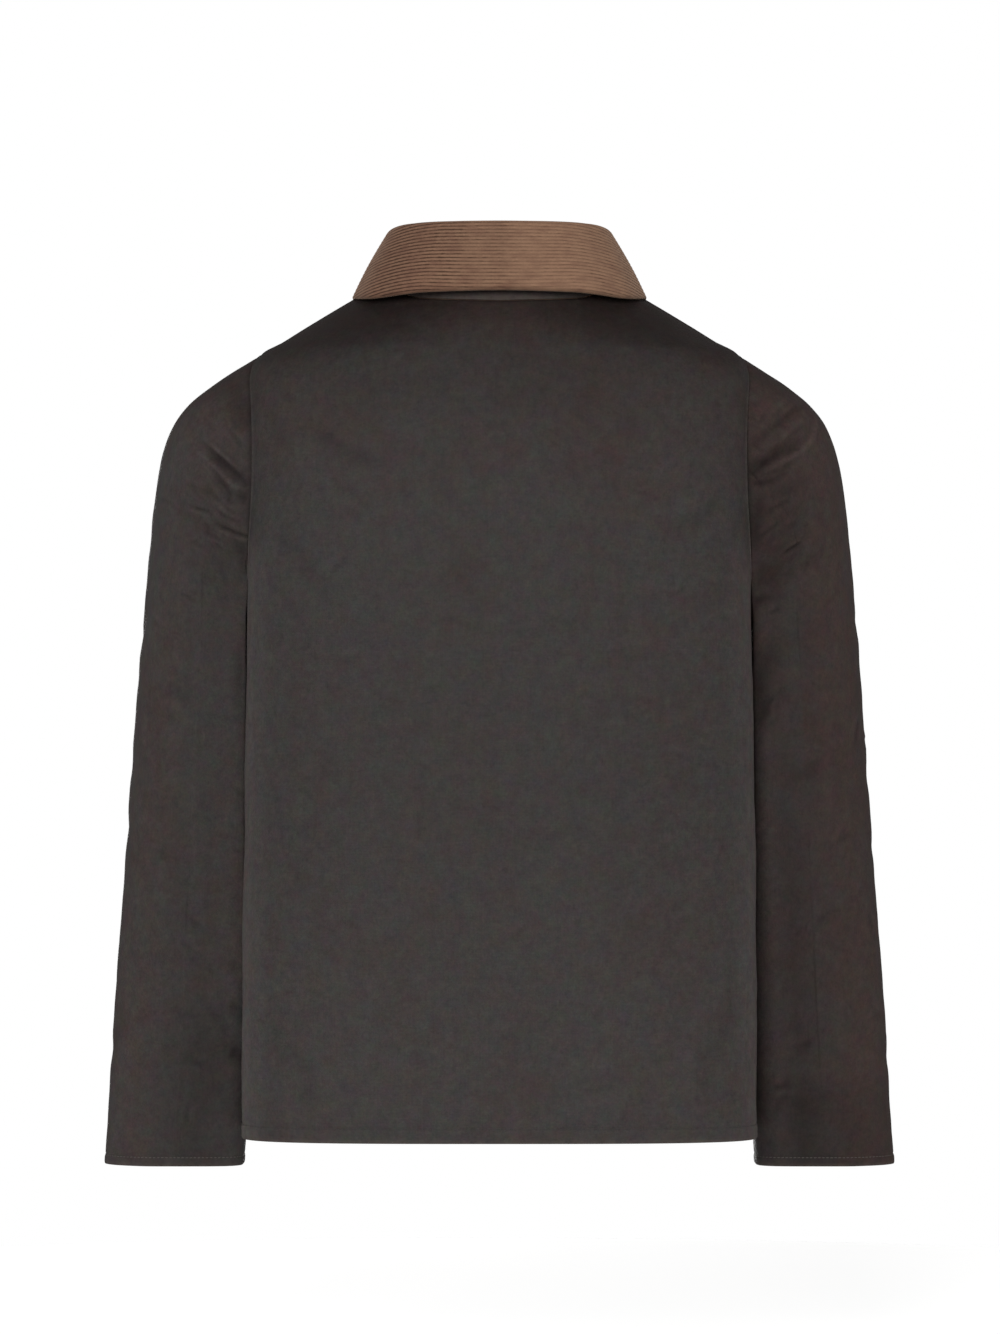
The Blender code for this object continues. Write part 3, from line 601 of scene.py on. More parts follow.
def finishPanel(name, points, outward, mapU, fromOuter, fromLap, creases, seed):
    # adds hem, seams and creases to a body panel, and works out its masks
    f = finish
    fromHem = lengthAlong(points, 0)
    fromNeck = fromHem[-1:] - fromHem
    height = points[..., 2]
    flatter = f["lowSeam"] + (1 - f["lowSeam"]) * ramp(height, bodyShape["armpit"], f["lowSeamOver"])
    lift = hemProfile(fromHem, mapU, f["hemDepth"], seed, ease(fromOuter / 0.01))
    lift = lift + seamProfile(fromOuter) * flatter
    lift = lift - f["neckDip"] * bump(fromNeck, f["neckDipWidth"])
    still = ease(fromHem / f["stillHem"]) * ease(fromNeck / f["stillNeck"]) * ease(fromOuter / f["stillOuter"])
    if fromLap is not None:
        lift = lift - f["edgeRound"] * bump(fromLap, f["edgeRoundWidth"])
        still = still * ramp(abs(points[..., 0]), *f["stillLap"])
    # the seam draws the cloth in where the shoulder ends
    shoulder = np.array([bodyHalfWidth(bodyShape["shoulderSeamY"], bodyShape["shoulder"]),
                         bodyShape["shoulderSeamY"], bodyShape["shoulder"]])
    fromShoulder = np.linalg.norm(abs(points) * [1, 0, 0] + points * [0, 1, 1] - shoulder, axis=-1)
    lift = lift - f["shoulderPull"] * bump(fromShoulder, f["shoulderPullSize"])
    folds, tone = creaseField(points, outward, creases + scattered(smallBodyCreases[name]))
    lift = lift + still * (unevenLift(mapU, height, seed) + folds)
    # a painted highlight along the seam's proud ridge, with wax rubbed there too
    plain, lower, varied = f["rubbedAndLit"]
    rubbedAndLit = plain + lower * ramp(height, *f["rubbedLow"])
    rubbedAndLit = rubbedAndLit + varied * cloudy(mapU * 0.2, height, f["rubbedSize"], seed + 3)
    nearEdge = bump(fromHem, f["wornEdge"])
    if fromLap is not None:
        nearEdge = np.maximum(nearEdge, bump(fromLap, f["wornEdge"]))
    masks = {
        "worn": np.maximum(nearEdge, rubbedAndLit * bump(fromOuter - f["rubbedAt"], f["rubbedWidth"])),
        # painted shade and highlights from the creases and over the panel
        "paintedlight": tone + panelPaintedLight(points, outward),
        "brownunsheened": brownWhereUnsheened(points, mapU),
    }
    moved = points + outward * lift[..., None]
    layers = {"map": (mapU, fromHem), "masks": masks}
    return moved, layers


# Painted light on the body: where the painted grey sheen gives way to the wax's brown, and where painted shade
# and painted highlights lie
waxLightAndTint = {
    # how far the painted grey sheen gives way to brown: everywhere, up the back, at the neck, in random clouds
    "plain": 0.06, "upper": 0.27, "neck": 0.66, "cloud": 0.10,
    # painted shade and painted highlights, lighter towards the hem, and more brown on the wearer's right, away
    # from the light
    "upperShade": 0.26, "shadeFacingUp": 0.50, "turnedHighlight": 0.50, "edgeHighlight": 0.62,
    "rimHighlight": (0.70, 0.66), "hemLight": 0.14, "right": 0.12,
    # where each one starts, in height or in distance from the widest place, and how soon it is whole
    "upperAt": (-0.170, 0.060), "neckAt": (-0.050, 0.035), "rightAt": (0.0, -0.15),
    "upperShadeAt": (-0.125, 0.075), "upperShadeAside": (0.10, 0.06), "hemAt": (-0.35, -0.25), "lowAt": (-0.17, -0.05),
    "edgeAt": (-0.024, 0.018), "rimAt": (-0.009, 0.005), "turnedAt": (-0.0036, 0.0014),
    "levelAt": (0.35, 0.5),
}


def shadeFacingUp(outward):
    # painted shade on cloth that faces up, darker the more level it lies
    return waxLightAndTint["shadeFacingUp"] * ramp(outward[..., 2], *waxLightAndTint["levelAt"])


def panelPaintedLight(points, outward):
    # painted shade towards the shoulders, less out to the sides, and lighter towards the hem; a painted
    # highlight where the side turns under the sleeve; painted shade where the cloth faces up
    w = waxLightAndTint
    height = points[..., 2]
    wide = abs(points[..., 0])
    dark = w["upperShade"] * ramp(height, *w["upperShadeAt"]) * (1 - 0.6 * ramp(wide, *w["upperShadeAside"]))
    dark = dark - w["hemLight"] * ramp(height, *w["hemAt"])
    aside = wide - sectionAt(height)[0]
    low = ramp(height, *w["lowAt"]) * (points[..., 1] > 0.0)
    edge = w["edgeHighlight"] * ramp(aside, *w["edgeAt"])
    edge = edge + np.where(points[..., 0] > 0, *w["rimHighlight"]) * ramp(aside, *w["rimAt"])
    turned = w["turnedHighlight"] * ramp(aside, *w["turnedAt"])
    return (edge + turned) * low - dark - shadeFacingUp(outward)


def brownWhereUnsheened(points, along):
    # how far the painted grey sheen gives way to brown where the cloth turns from the front light: most at the
    # neck, a little over the shoulders, more on the wearer's right; with random clouds
    w = waxLightAndTint
    height = points[..., 2]
    upper = w["upper"] * ramp(height, *w["upperAt"])
    neck = w["neck"] * ramp(height, *w["neckAt"])
    right = w["right"] * ramp(points[..., 0], *w["rightAt"])
    cloud = w["cloud"] * cloudy(along, height * 0.4, 0.10, 77)
    return np.clip(w["plain"] + upper + neck + right + cloud, 0, 1)


def makePanels():
    half = backHalfPlaces()
    angle = np.hstack([half[0][:, ::-1], -half[0][:, 1:]])
    height = np.hstack([half[1][:, ::-1], half[1][:, 1:]])
    points, outward = bodyPoint(angle, height), bodyOutward(angle, height)
    across = lengthAlong(points, 1)
    middle = across[:, [across.shape[1] // 2]]
    fromOuter = np.minimum(across, across[:, -1:] - across)
    made = {}
    moved, layers = finishPanel("back", points, outward, across - middle, fromOuter, None,
                                bodyCreases["back"], 11)
    made["back"] = (makeSheet("back_cloth", moved, False, cloth["wall"], layers), moved)

    angle, height = frontPlaces()
    plain, outward = bodyPoint(angle, height), bodyOutward(angle, height)
    for side, name, lift in ((1, "front_left", lapLift(plain)), (-1, "front_right", 0 * plain[..., 0])):
        points = plain + outward * lift[..., None]
        facing = outward
        if side < 0:
            points, facing = mirrored(points), mirrored(outward)
        across = lengthAlong(points, 1)
        if side > 0:
            fromOuter, fromLap = across[:, -1:] - across, across
        else:
            fromOuter, fromLap = across, across[:, -1:] - across
        moved, layers = finishPanel(name, points, facing, across, fromOuter, fromLap,
                                    bodyCreases[name], 23 if side > 0 else 31)
        made[name] = (makeSheet(name + "_cloth", moved, False, cloth["wall"], layers), moved)
    return made


# The sleeves
sleeveShape = {
    "cuff": -0.6785,
    "clearance": 0.0017,
    "softness": 0.0012,
    "radius": 0.06,
    "mapRadius": 0.058,
    "middle": (0.23, -0.04),
    "upperArm": -0.252,
    "upperArmTilt": 0.049,
    "armStep": 0.02,
    "upperRows": 12,
    "lowerRows": 9,
    "squareBack": 2.4,
    # height, outer edge, inner edge, middle, half depth, how square
    "sections": [
        (-0.6785, 0.3122, 0.2022, -0.066, 0.036, 2.2),
        (-0.5650, 0.3048, 0.1940, -0.062, 0.047, 2.2),
        (-0.4250, 0.2946, 0.1890, -0.055, 0.059, 2.2),
        (-0.3000, 0.2852, 0.1850, -0.051, 0.068, 2.2),
        (-0.2000, 0.2762, 0.1800, -0.046, 0.074, 2.2),
    ],
    # turn, the way the cloth leaves the armhole, its reach there and at the upper arm
    "head": [
        (0, 0.86, -0.30, -0.42, 0.060, 0.060),
        (90, 0.85, -0.05, -0.52, 0.086, 0.117),
        (180, 0.72, -0.52, -0.42, 0.060, 0.060),
        (225, 0.20, -0.30, -0.93, 0.026, 0.040),
        (270, 0.10, -0.12, -0.98, 0.014, 0.022),
        (315, 0.10, -0.28, -0.95, 0.022, 0.040),
        (360, 0.86, -0.30, -0.42, 0.060, 0.060),
    ],
    # start turn and drop, end turn and drop, half width, depth of the large soft folds
    "folds": {
        "left": [(38, 0.070, -18, 0.112, 0.011, 0.0040), (44, 0.118, -14, 0.146, 0.009, 0.0028)],
        "right": [(62, 0.048, 0, 0.104, 0.012, 0.0040), (40, 0.158, -12, 0.172, 0.009, 0.0025)],
    },
    "turns": 178,
    "backCloser": 0.56,
    "meshUpperRows": 122,
    "meshLowerRows": 92,
    "allowance": [0.007, 0.0035, 0.0008],
    "allowanceGap": 0.0005,
    # the seam under the arm: where it is, the mesh's turns beside it, its dip and the ridges beside it
    "seamTurn": 270,
    "seamTurns": (-2.0, -1.3, -0.7, 0.0, 0.7, 1.3, 2.0),
    "seamClear": 2.4,
    "seamDip": (0.0005, 0.0009),
    "seamRidge": (0.0003, 0.0022, 0.0014),
    # how much of the creases is lost against the body, from which turn of the cloth, and from where down
    "smooth": 0.95,
    "smoothFrom": (0.35, 0.4),
    "smoothBelow": 0.004,
    # from the armhole or the cuff, how soon the folds and the slow unevenness come in
    "foldsFrom": 0.0015,
    "unevenFrom": 0.02,
    "cuffBand": 0.26,
    "cuffBandRows": 12,
}

sleeveCreases = {
    "left": [
        crease("back", 3.4, 2.6, (232.6, -110.8), (222.3, -122.7), (210.9, -131.6), (200.5, -140.5),
               (193.5, -148.4), tone=0.5, ridge=0.55, fade=(0.45, 0.08), pinch=0.3, spread=1.6),
        crease("back", 3, 2, (223.7, -128.6), (215.8, -142.9), (207.9, -153.3), (193.5, -157.8), tone=0.45,
               ridge=0.5, fade=(0.55, 0.08), pinch=0.22, spread=1.8),
        crease("back", 1.5, 0.9, (240.6, -159.8), (235.1, -163.7), (224.7, -166.2), (221.3, -168.9), tone=0.48,
               ridge=0.5, fade=(0.5, 0.5), pinch=0.2),
        crease("back", 1.5, 1.3, (221.3, -174.6), (213.3, -179.1), (204.4, -183), (193, -187), tone=0.55,
               ridge=0.5, fade=(0.5, 0.06), pinch=0.28),
        crease("back", 2.4, -0.9, (238.3, -115.4), (225, -127.1), (211.8, -139.6), (199.3, -150.5), tone=-0.42,
               ridge=0.2, fade=(0.4, 0.15)),
        crease("back", 2.2, -0.7, (232.9, -106), (220, -116.5), (198.5, -136.5), tone=-0.5, ridge=0.2,
               fade=(0.4, 0.1)),
        crease("back", 10.5, 0.9, (205.9, -64.2), (201, -84), (194.5, -105.8), tone=0.55, ridge=0.1,
               fade=(0.3, 0.3)),
        crease("back", 5.5, 0.8, (229.7, -143.4), (217.8, -153.3), (203.9, -166.2), tone=0.15, ridge=0.3),
        crease("back", 6, 0.9, (202, -187), (197, -200.9), (194, -225.6), tone=0.55, ridge=0.1,
               fade=(0.3, 0.6)),
        crease("back", 8, 1, (202.9, -262.2), (197.5, -291.9), (196.5, -337.5), tone=0.4, ridge=0.15,
               fade=(0.4, 0.5)),
        crease("back", 5, 1, (209.9, -517.7), (202, -525.6), (196, -528.6)),
        crease("back", 5, 1.2, (211.9, -550.3), (202.9, -556.3), (197, -566.2), tone=0.6),
        crease("back", 4, 0.9, (229.7, -555.3), (217.8, -562.2), (209.9, -574.1)),
        crease("back", 6, 1.3, (211.9, -585), (202.9, -591.9), (197, -600.8), tone=0.75),
        crease("back", 4, 0.8, (249.5, -590.9), (239.6, -596.9), (228.7, -598.8)),
        crease("back", 6, 0.8, (259.4, -299.9), (249.5, -308.8), (235.6, -310.7)),
        crease("back", 6, 0.7, (273.2, -426.6), (259.4, -434.5), (249.5, -447.4)),
        crease("front", 6.5, 2.4, (246, -100), (222, -132), (200, -150), ridge=0.5, fade=(0.35, 0.12),
               spread=1.4),
        crease("front", 5.5, 1.8, (250, -142), (228, -165), (206, -180), ridge=0.5),
        crease("front", 4, 1.3, (236, -196), (216, -208), (200, -213)),
        crease("front", 9, 1.4, (262, -330), (240, -352), (214, -361)),
        crease("front", 8, 1.1, (270, -372), (246, -383), (222, -404)),
        crease("front", 6, 0.9, (224, -560), (212, -572), (206, -590)),
        crease("left", 9, 1.2, (-10, -235), (-40, -262), (-78, -270)),
        crease("left", 9, 1.4, (-90, -350), (-60, -366), (-36, -362)),
        crease("left", 8, 1, (-84, -398), (-58, -408), (-24, -426)),
        crease("left", 8, 0.8, (-30, -560), (-52, -585), (-78, -592)),
    ],
    "right": [
        crease("back", 2.6, 2.2, (-234.6, -84), (-222.8, -93), (-212.8, -101.9), (-201, -110.8),
               (-194, -117.7), tone=0.32, ridge=0.55, fade=(0.15, 0.1), pinch=0.3, spread=2),
        crease("back", 5.4, 2.8, (-238.6, -105.8), (-229.7, -113.7), (-216.8, -121.2), (-204.9, -130.1),
               (-194, -139.5), tone=0.46, ridge=0.45, fade=(0.35, 0.06), pinch=0.26, spread=1.5),
        crease("back", 2.2, -1.2, (-246.5, -91), (-245, -100.9), (-242.5, -109.8), (-234.6, -118.7),
               (-226.7, -122.7), (-213.8, -129.1), (-197, -140.5), tone=-0.75, ridge=0.3, fade=(0.15, 0.35)),
        crease("back", 1.7, 1, (-234.6, -131.6), (-218.8, -138), (-207.9, -143.4), (-194, -145.9), tone=0.36,
               ridge=0.3, fade=(0.9, 0.08), pinch=0.22, spread=1.6),
        crease("back", 4, 0.7, (-243.5, -137.5), (-227.7, -147.4), (-209.9, -154.3), tone=0.2, ridge=0.3),
        crease("back", 1.5, 1.1, (-236.1, -189.5), (-226.7, -194.4), (-217.8, -199.9), tone=0.48, ridge=0.5,
               fade=(0.3, 0.4), pinch=0.22),
        crease("back", 5.5, 0.8, (-202.9, -151.4), (-198, -173.1), (-195, -205.8), tone=0.45, ridge=0.1,
               fade=(0.2, 0.4)),
        crease("back", 8.5, 1.2, (-209.9, -205.8), (-202.9, -222.6), (-197, -246.4), tone=0.35, ridge=0.2),
        crease("back", 9.5, 1.4, (-213.8, -262.2), (-203.9, -290), (-198.5, -344.4), tone=0.7, ridge=0.15,
               fade=(0.3, 0.35)),
        crease("back", 5, 0.9, (-225.7, -299.9), (-209.9, -313.7), (-201, -333.5)),
        crease("back", 6, 0.8, (-249.5, -361.2), (-237.6, -370.1), (-223.7, -373.1)),
        crease("back", 6, 0.7, (-267.3, -474.1), (-255.4, -480), (-246.5, -491.9)),
        crease("back", 2.8, 0.8, (-245.5, -579), (-237.6, -584), (-229.7, -586), tone=0.5),
        crease("back", 2.8, 0.8, (-229.7, -610.7), (-221.8, -615.7), (-211.9, -618.6), tone=0.5),
        crease("front", 6.5, 2.4, (-244, -94), (-224, -120), (-200, -137), ridge=0.5, fade=(0.35, 0.12),
               spread=1.4),
        crease("front", 5.5, 1.7, (-248, -150), (-226, -168), (-204, -190), ridge=0.5),
        crease("front", 4.2, 1.2, (-238, -206), (-218, -215), (-202, -226)),
        crease("front", 9, 1.3, (-266, -345), (-242, -360), (-216, -366)),
        crease("front", 8, 1.1, (-268, -392), (-244, -404), (-224, -424)),
        crease("right", 9, 1.2, (-8, -222), (-38, -252), (-74, -262)),
        crease("right", 9, 1.3, (-94, -362), (-64, -376), (-34, -370)),
        crease("right", 8, 1, (-86, -410), (-56, -424), (-28, -440)),
        crease("right", 8, 0.8, (-34, -575), (-56, -594), (-80, -600)),
    ],
}


# fine creases beside the main ones: how seen, and their places in millimetres
fineSleeveCreases = {
    "left": [
        ("back", (225, -109), (212.5, -120.5), (201.5, -130)),
        ("back", (231, -123.5), (221.5, -133.5), (212.5, -141.5)),
        ("back", (229, -142.5), (218.5, -156), (208, -166), (196, -172.5)),
        ("back", (221, -164), (210, -170.5), (198, -176.5)),
        ("back", (233, -178.5), (223, -185), (212, -190)),
        ("back", (211, -101), (204, -109.5), (197.5, -117.5)),
        ("front", (238, -118), (225, -133), (209, -147)),
        ("front", (234, -160), (221, -171), (208, -178)),
        ("front", (225, -96), (212, -109), (203, -119)),
    ],
    "right": [
        ("back", (-228, -79), (-216, -88), (-204, -98.5)),
        ("back", (-240, -96), (-229, -104.5), (-218, -111.5)),
        ("back", (-233, -123.5), (-220, -131.5), (-206, -138.5)),
        ("back", (-228, -154.5), (-216, -161.5), (-204, -169)),
        ("back", (-220, -172), (-210, -179), (-199, -188)),
        ("back", (-212, -84), (-205, -91.5), (-197.5, -101)),
        ("front", (-237, -112), (-224, -126), (-208, -138)),
        ("front", (-233, -165), (-220, -176), (-208, -187)),
        ("front", (-223, -90), (-211, -102), (-203, -113)),
    ],
}


def fineCreases(kinds):
    return [crease(seen, 1.7, 0.55, *line, tone=0.30, ridge=0.8, fade=(0.45, 0.30)) for seen, *line in kinds]


# where many small creases lie: how seen, how many, area, slope, length, depth, seed
smallSleeveCreases = {
    "left": [
        ("back", 8, (0.199, 0.236, -0.196, -0.108), (42, 7), (0.008, 0.022), 0.0004, 201),
        ("back", 4, (0.199, 0.225, -0.110, -0.075), (50, 10), (0.006, 0.014), 0.0003, 202),
        ("back", 13, (0.200, 0.245, -0.640, -0.200), (32, 22), (0.008, 0.022), 0.0004, 203),
        ("back", 10, (0.235, 0.300, -0.640, -0.130), (0, 60), (0.008, 0.024), 0.0003, 204),
        ("front", 9, (0.199, 0.240, -0.196, -0.108), (44, 8), (0.010, 0.024), 0.0005, 205),
        ("front", 14, (0.205, 0.290, -0.640, -0.200), (0, 50), (0.012, 0.030), 0.0006, 206),
        ("left", 12, (-0.100, 0.000, -0.640, -0.220), (0, 50), (0.012, 0.030), 0.0006, 207),
    ],
    "right": [
        ("back", 8, (-0.240, -0.199, -0.165, -0.080), (-38, 7), (0.008, 0.022), 0.0004, 211),
        ("back", 6, (-0.240, -0.199, -0.215, -0.150), (-33, 9), (0.007, 0.018), 0.0003, 212),
        ("back", 16, (-0.240, -0.200, -0.640, -0.200), (-32, 22), (0.008, 0.022), 0.0004, 213),
        ("back", 10, (-0.300, -0.235, -0.640, -0.130), (0, 60), (0.008, 0.024), 0.0003, 214),
        ("front", 9, (-0.240, -0.199, -0.190, -0.100), (-44, 8), (0.010, 0.024), 0.0005, 215),
        ("front", 14, (-0.290, -0.205, -0.640, -0.200), (0, 50), (0.012, 0.030), 0.0006, 216),
        ("right", 12, (-0.100, 0.000, -0.640, -0.220), (0, 50), (0.012, 0.030), 0.0006, 217),
    ],
}


def softlyAbove(value, limit, softness):
    gap = value - limit
    return limit + (gap + np.sqrt(gap * gap + softness * softness)) / 2


def sleeveSection(turn, height):
    s = sleeveShape
    outer, inner, middle, halfDepth, power = np.moveaxis(through(s["sections"], height), -1, 0)
    sine, cosine = np.sin(turn), np.cos(turn)
    # the cloth lies flatter behind, next to the body
    power = power + s["squareBack"] * ease((np.cos(turn + math.pi / 4) - 0.2) / 0.8)
    reach = (abs(sine) ** power + abs(cosine) ** power) ** (-1 / power)
    x = (outer + inner) / 2 + (outer - inner) / 2 * reach * sine
    y = middle + halfDepth * reach * cosine
    clear = bodyHalfWidth(y, np.maximum(height, bodyShape["hem"])) + s["clearance"]
    return np.stack([softlyAbove(x, clear, s["softness"]), y, height + 0 * x], -1)


def sleeveHead(turn):
    degrees = np.degrees(turn) % 360
    table = np.array(sleeveShape["head"], float)
    low = np.clip(np.searchsorted(table[:, 0], degrees, side="right") - 1, 0, len(table) - 2)
    share = ease((degrees - table[low, 0]) / (table[low + 1, 0] - table[low, 0]))[..., None]
    return (1 - share) * table[low, 1:] + share * table[low + 1, 1:]


def foldDepth(turn, drop, folds):
    around = np.radians((np.degrees(turn) + 90) % 360 - 90) * sleeveShape["radius"]
    total = 0
    for startTurn, startDrop, endTurn, endDrop, halfWidth, depth in folds:
        start = np.array([math.radians(startTurn) * sleeveShape["radius"], startDrop])
        run = np.array([math.radians(endTurn) * sleeveShape["radius"], endDrop]) - start
        awayX, awayY = around - start[0], drop - start[1]
        share = np.clip((awayX * run[0] + awayY * run[1]) / (run @ run), 0, 1)
        distance = np.hypot(awayX - run[0] * share, awayY - run[1] * share)
        total = total + depth * ease(0.35 + 3 * np.minimum(share, 1 - share)) * bump(distance, halfWidth)
    return total


def sleevePoints(turns, rows, folds):
    s = sleeveShape
    turn = turns[None, :] + 0 * rows[:, None]
    ringHeight = s["upperArm"] + s["upperArmTilt"] * np.sin(turns)
    y, z = armholePoint(turns, cloth["seamGap"])
    seam = np.stack([bodyHalfWidth(y, z), y, z], -1)
    ring = sleeveSection(turns, ringHeight)
    below = sleeveSection(turns, ringHeight - s["armStep"])
    head = sleeveHead(turns)
    leave = seam + unit(head[:, :3]) * head[:, 3:4]
    arrive = ring + unit(ring - below) * head[:, 4:5]
    t = np.clip(rows / s["upperRows"], 0, 1)[:, None, None]
    upper = seam * (1 - t) ** 3 + leave * (3 * t * (1 - t) ** 2) + arrive * (3 * t * t * (1 - t)) + ring * t ** 3
    leaving = ease(t[..., 0] * 1.6)
    clear = bodyHalfWidth(upper[..., 1], upper[..., 2]) + s["clearance"] * leaving
    upper[..., 0] = softlyAbove(upper[..., 0], clear, s["softness"] * leaving)
    middle = np.stack([s["middle"][0] + 0 * turn, s["middle"][1] + 0 * turn, upper[..., 2]], -1)
    pressed = ease(t * 4) * foldDepth(turn, bodyShape["shoulder"] - upper[..., 2], folds)[..., None]
    upper = upper + unit(middle - upper) * pressed
    share = np.clip((rows - s["upperRows"]) / s["lowerRows"], 0, 1)[:, None]
    lower = sleeveSection(turn, ringHeight + (s["cuff"] - ringHeight) * share)
    return np.where((rows > s["upperRows"])[:, None, None], lower, upper)


# Painted light on each sleeve. How far its painted grey sheen gives way to brown: at the inner edge, at the
# outer edge
sleeveLightAndTint = {
    "left": (0.12, 0.36), "right": (0.52, 1.00), "acrossFrom": (-0.6, 1.4),
    "head": 0.25, "headShade": 0.20, "headLength": 0.11,
    "bands": 0.12, "bandsOver": 0.15, "cloud": 0.12, "cloudSize": 0.09,
    # a painted highlight on the outer side of the upper arm: how light, from where round the arm, and down to
    # where
    "armHighlight": {"left": 0.08, "right": 0.20}, "armFrom": (0.1, 0.5), "armTo": (0.20, 0.12),
    # a painted shadow along the armhole seam: how dark, its width, and the right one's start near the shoulder
    "seamShadow": 0.70, "seamWidth": 0.0034, "seamShadowRight": (0.25, 0.45), "seamShadowFrom": (-0.100, -0.03),
    # from the inner to the outer edge, the painted shade and painted light across the sleeve
    "toneAt": (-1.0, -0.7, -0.3, 0.2, 0.7, 1.0),
    "tone": {"left": (0.52, 0.54, 0.06, 0.09, 0.37, 0.47),
             "right": (0.24, 0.26, -0.18, -0.03, 0.30, 0.38)},
    # painted shade and light added below the elbow, and again towards the cuff: the height it starts at, how
    # fast it grows, the tones
    "lower": {"left": (-0.34, 0.12, (0, 0, 0, 0, 0, 0)),
              "right": (-0.34, 0.12, (0.35, 0.06, -0.18, 0.03, 0, 0))},
    "cuff": {"left": (-0.53, 0.06, (-0.50, -0.50, -0.42, -0.10, 0, 0)),
             "right": (-0.60, 0.03, (-0.30, -0.36, -0.38, -0.30, -0.28, -0.28))},
}


def tuckedRows(turns, first, side):
    # the seam allowance: down past the cut edge of the body panel, then flat behind it
    s = sleeveShape
    behind = cloth["wall"] + s["allowanceGap"]
    rows = []
    for allowance in s["allowance"]:
        y, z = armholePoint(turns, -allowance)
        angle = angleAtY(y, z)
        point = bodyPoint(angle, z) - bodyOutward(angle, z) * behind
        rows.append((point * np.array([side, 1, 1]))[::side])
    y, z = armholePoint(turns, cloth["seamGap"])
    inward = (bodyOutward(angleAtY(y, z), z) * np.array([side, 1, 1]))[::side]
    rows += [first - inward * behind, first - inward * behind * 0.5]
    return np.stack(rows)


def makeSleeves():
    s = sleeveShape
    even = np.linspace(-180, 180, s["turns"], endpoint=False)
    # closer together on the back, where the sharpest creases are
    even = (even - np.degrees(s["backCloser"] * np.sin(np.radians(even)))) % 360
    even = even[abs(even - s["seamTurn"]) > s["seamClear"]]
    turns = np.radians(np.sort(np.concatenate([even, s["seamTurn"] + np.array(s["seamTurns"])])))
    last = s["upperRows"] + s["lowerRows"]
    rows = np.concatenate([
        np.linspace(0, 0.25, 6)[:-1],
        np.linspace(0.25, s["upperRows"], s["meshUpperRows"]),
        np.linspace(s["upperRows"], last - s["cuffBand"], s["meshLowerRows"])[1:],
        np.linspace(last - s["cuffBand"], last, s["cuffBandRows"])[1:],
    ])
    made = {}
    for name, side, seed in (("left", 1, 41), ("right", -1, 53)):
        points = sleevePoints(turns, rows, s["folds"][name])
        degrees = np.degrees(turns)[None, :] + 0 * rows[:, None]
        if side < 0:
            points, degrees = mirrored(points), degrees[:, ::-1]
        outward = gridOutward(points, closed=True)
        down = lengthAlong(points, 0)
        fromCuff = down[-1:] - down
        radii = np.linalg.norm(points - points.mean(1, keepdims=True), axis=-1).mean(1)
        around = side * np.radians(degrees) * s["mapRadius"]
        seamAway = abs((degrees - s["seamTurn"] + 180) % 360 - 180) * math.radians(1) * radii[:, None]
        dip, dipWidth = s["seamDip"]
        ridge, ridgeAt, ridgeWidth = s["seamRidge"]
        lift = hemProfile(fromCuff, around, finish["cuffDepth"], seed) - dip * bump(seamAway, dipWidth)
        lift = lift + ridge * bump(seamAway - ridgeAt, ridgeWidth)
        lift = lift - finish["sleeveSink"] * bump(down, finish["sleeveSinkWidth"])
        small = scattered(smallSleeveCreases[name]) + fineCreases(fineSleeveCreases[name])
        folds, tone = creaseField(points, outward, sleeveCreases[name] + small)
        # the cloth that lies against the body stays smooth
        towards = ramp(-side * outward[..., 0], *s["smoothFrom"])
        beside = 1 - s["smooth"] * towards * ease(down / s["smoothBelow"])
        aboveCuff = ease(fromCuff / s["unevenFrom"])
        still = ease(down / s["foldsFrom"]) * aboveCuff * beside
        loose = ease(down / s["unevenFrom"]) * aboveCuff * beside
        lift = lift + still * folds + loose * unevenLift(around, down, seed)
        moved = points + outward * lift[..., None]
        tint = sleeveLightAndTint
        # how far the painted grey sheen gives way to brown round the sleeve: more at its head and in bands, with
        # random clouds
        bands = np.cos(np.radians(degrees * 6 - 540)) * ease(down / tint["bandsOver"])
        head = ease(1 - down / tint["headLength"])
        inner, outer = tint[name]
        outerShare = np.sin(np.radians(degrees))
        brown = inner + (outer - inner) * ramp(outerShare, *tint["acrossFrom"])
        brown = brown + tint["bands"] * bands + tint["head"] * head
        brown = brown + tint["cloud"] * cloudy(around, down * 0.3, tint["cloudSize"], seed + 5)
        # painted shade and light across the sleeve, more below the elbow and towards the cuff
        tone = tone + np.interp(outerShare, tint["toneAt"], tint["tone"][name])
        for part in ("lower", "cuff"):
            start, growth, tones = tint[part][name]
            more = np.interp(outerShare, tint["toneAt"], tones)
            tone = tone + more * ease((start - points[..., 2]) / growth)
        # a painted highlight on the outer side of the upper arm
        upperArm = 1 - ramp(down, *tint["armTo"])
        tone = tone + tint["armHighlight"][name] * ramp(outerShare, *tint["armFrom"]) * upperArm
        # a painted shadow beside the armhole seam, and painted shade at the sleeve's head
        seamShadow, more = (tint["seamShadow"], 0) if side > 0 else tint["seamShadowRight"]
        seamShadow = seamShadow + more * ramp(points[..., 2], *tint["seamShadowFrom"])
        tone = tone - tint["headShade"] * head - seamShadow * bump(down, tint["seamWidth"])
        # painted shade where the sleeve's cloth faces up
        tone = tone - shadeFacingUp(outward)
        masks = {
            "worn": bump(fromCuff, finish["wornEdge"]),
            "paintedlight": tone,
            "brownunsheened": np.clip(brown, 0, 1),
        }
        tucked = tuckedRows(turns, moved[0], side)
        count = len(tucked)
        masks = {key: np.vstack([value[:1]] * count + [value]) for key, value in masks.items()}
        mapV = np.vstack([-0.002 * (row - count) + 0 * down[:1] for row in range(count)] + [-down])
        around = np.vstack([around[:1]] * count + [around])
        # the map carries on once round, so that the weave meets itself under the arm
        onceRound = np.full(len(rows) + count, side * 2 * math.pi * s["mapRadius"])
        layers = {"map": (around, mapV), "round": onceRound, "masks": masks}
        whole = np.vstack([tucked, moved])
        made["sleeve_" + name] = (makeSheet(f"sleeve_{name}_cloth", whole, True, cloth["wall"], layers), moved)
    return made


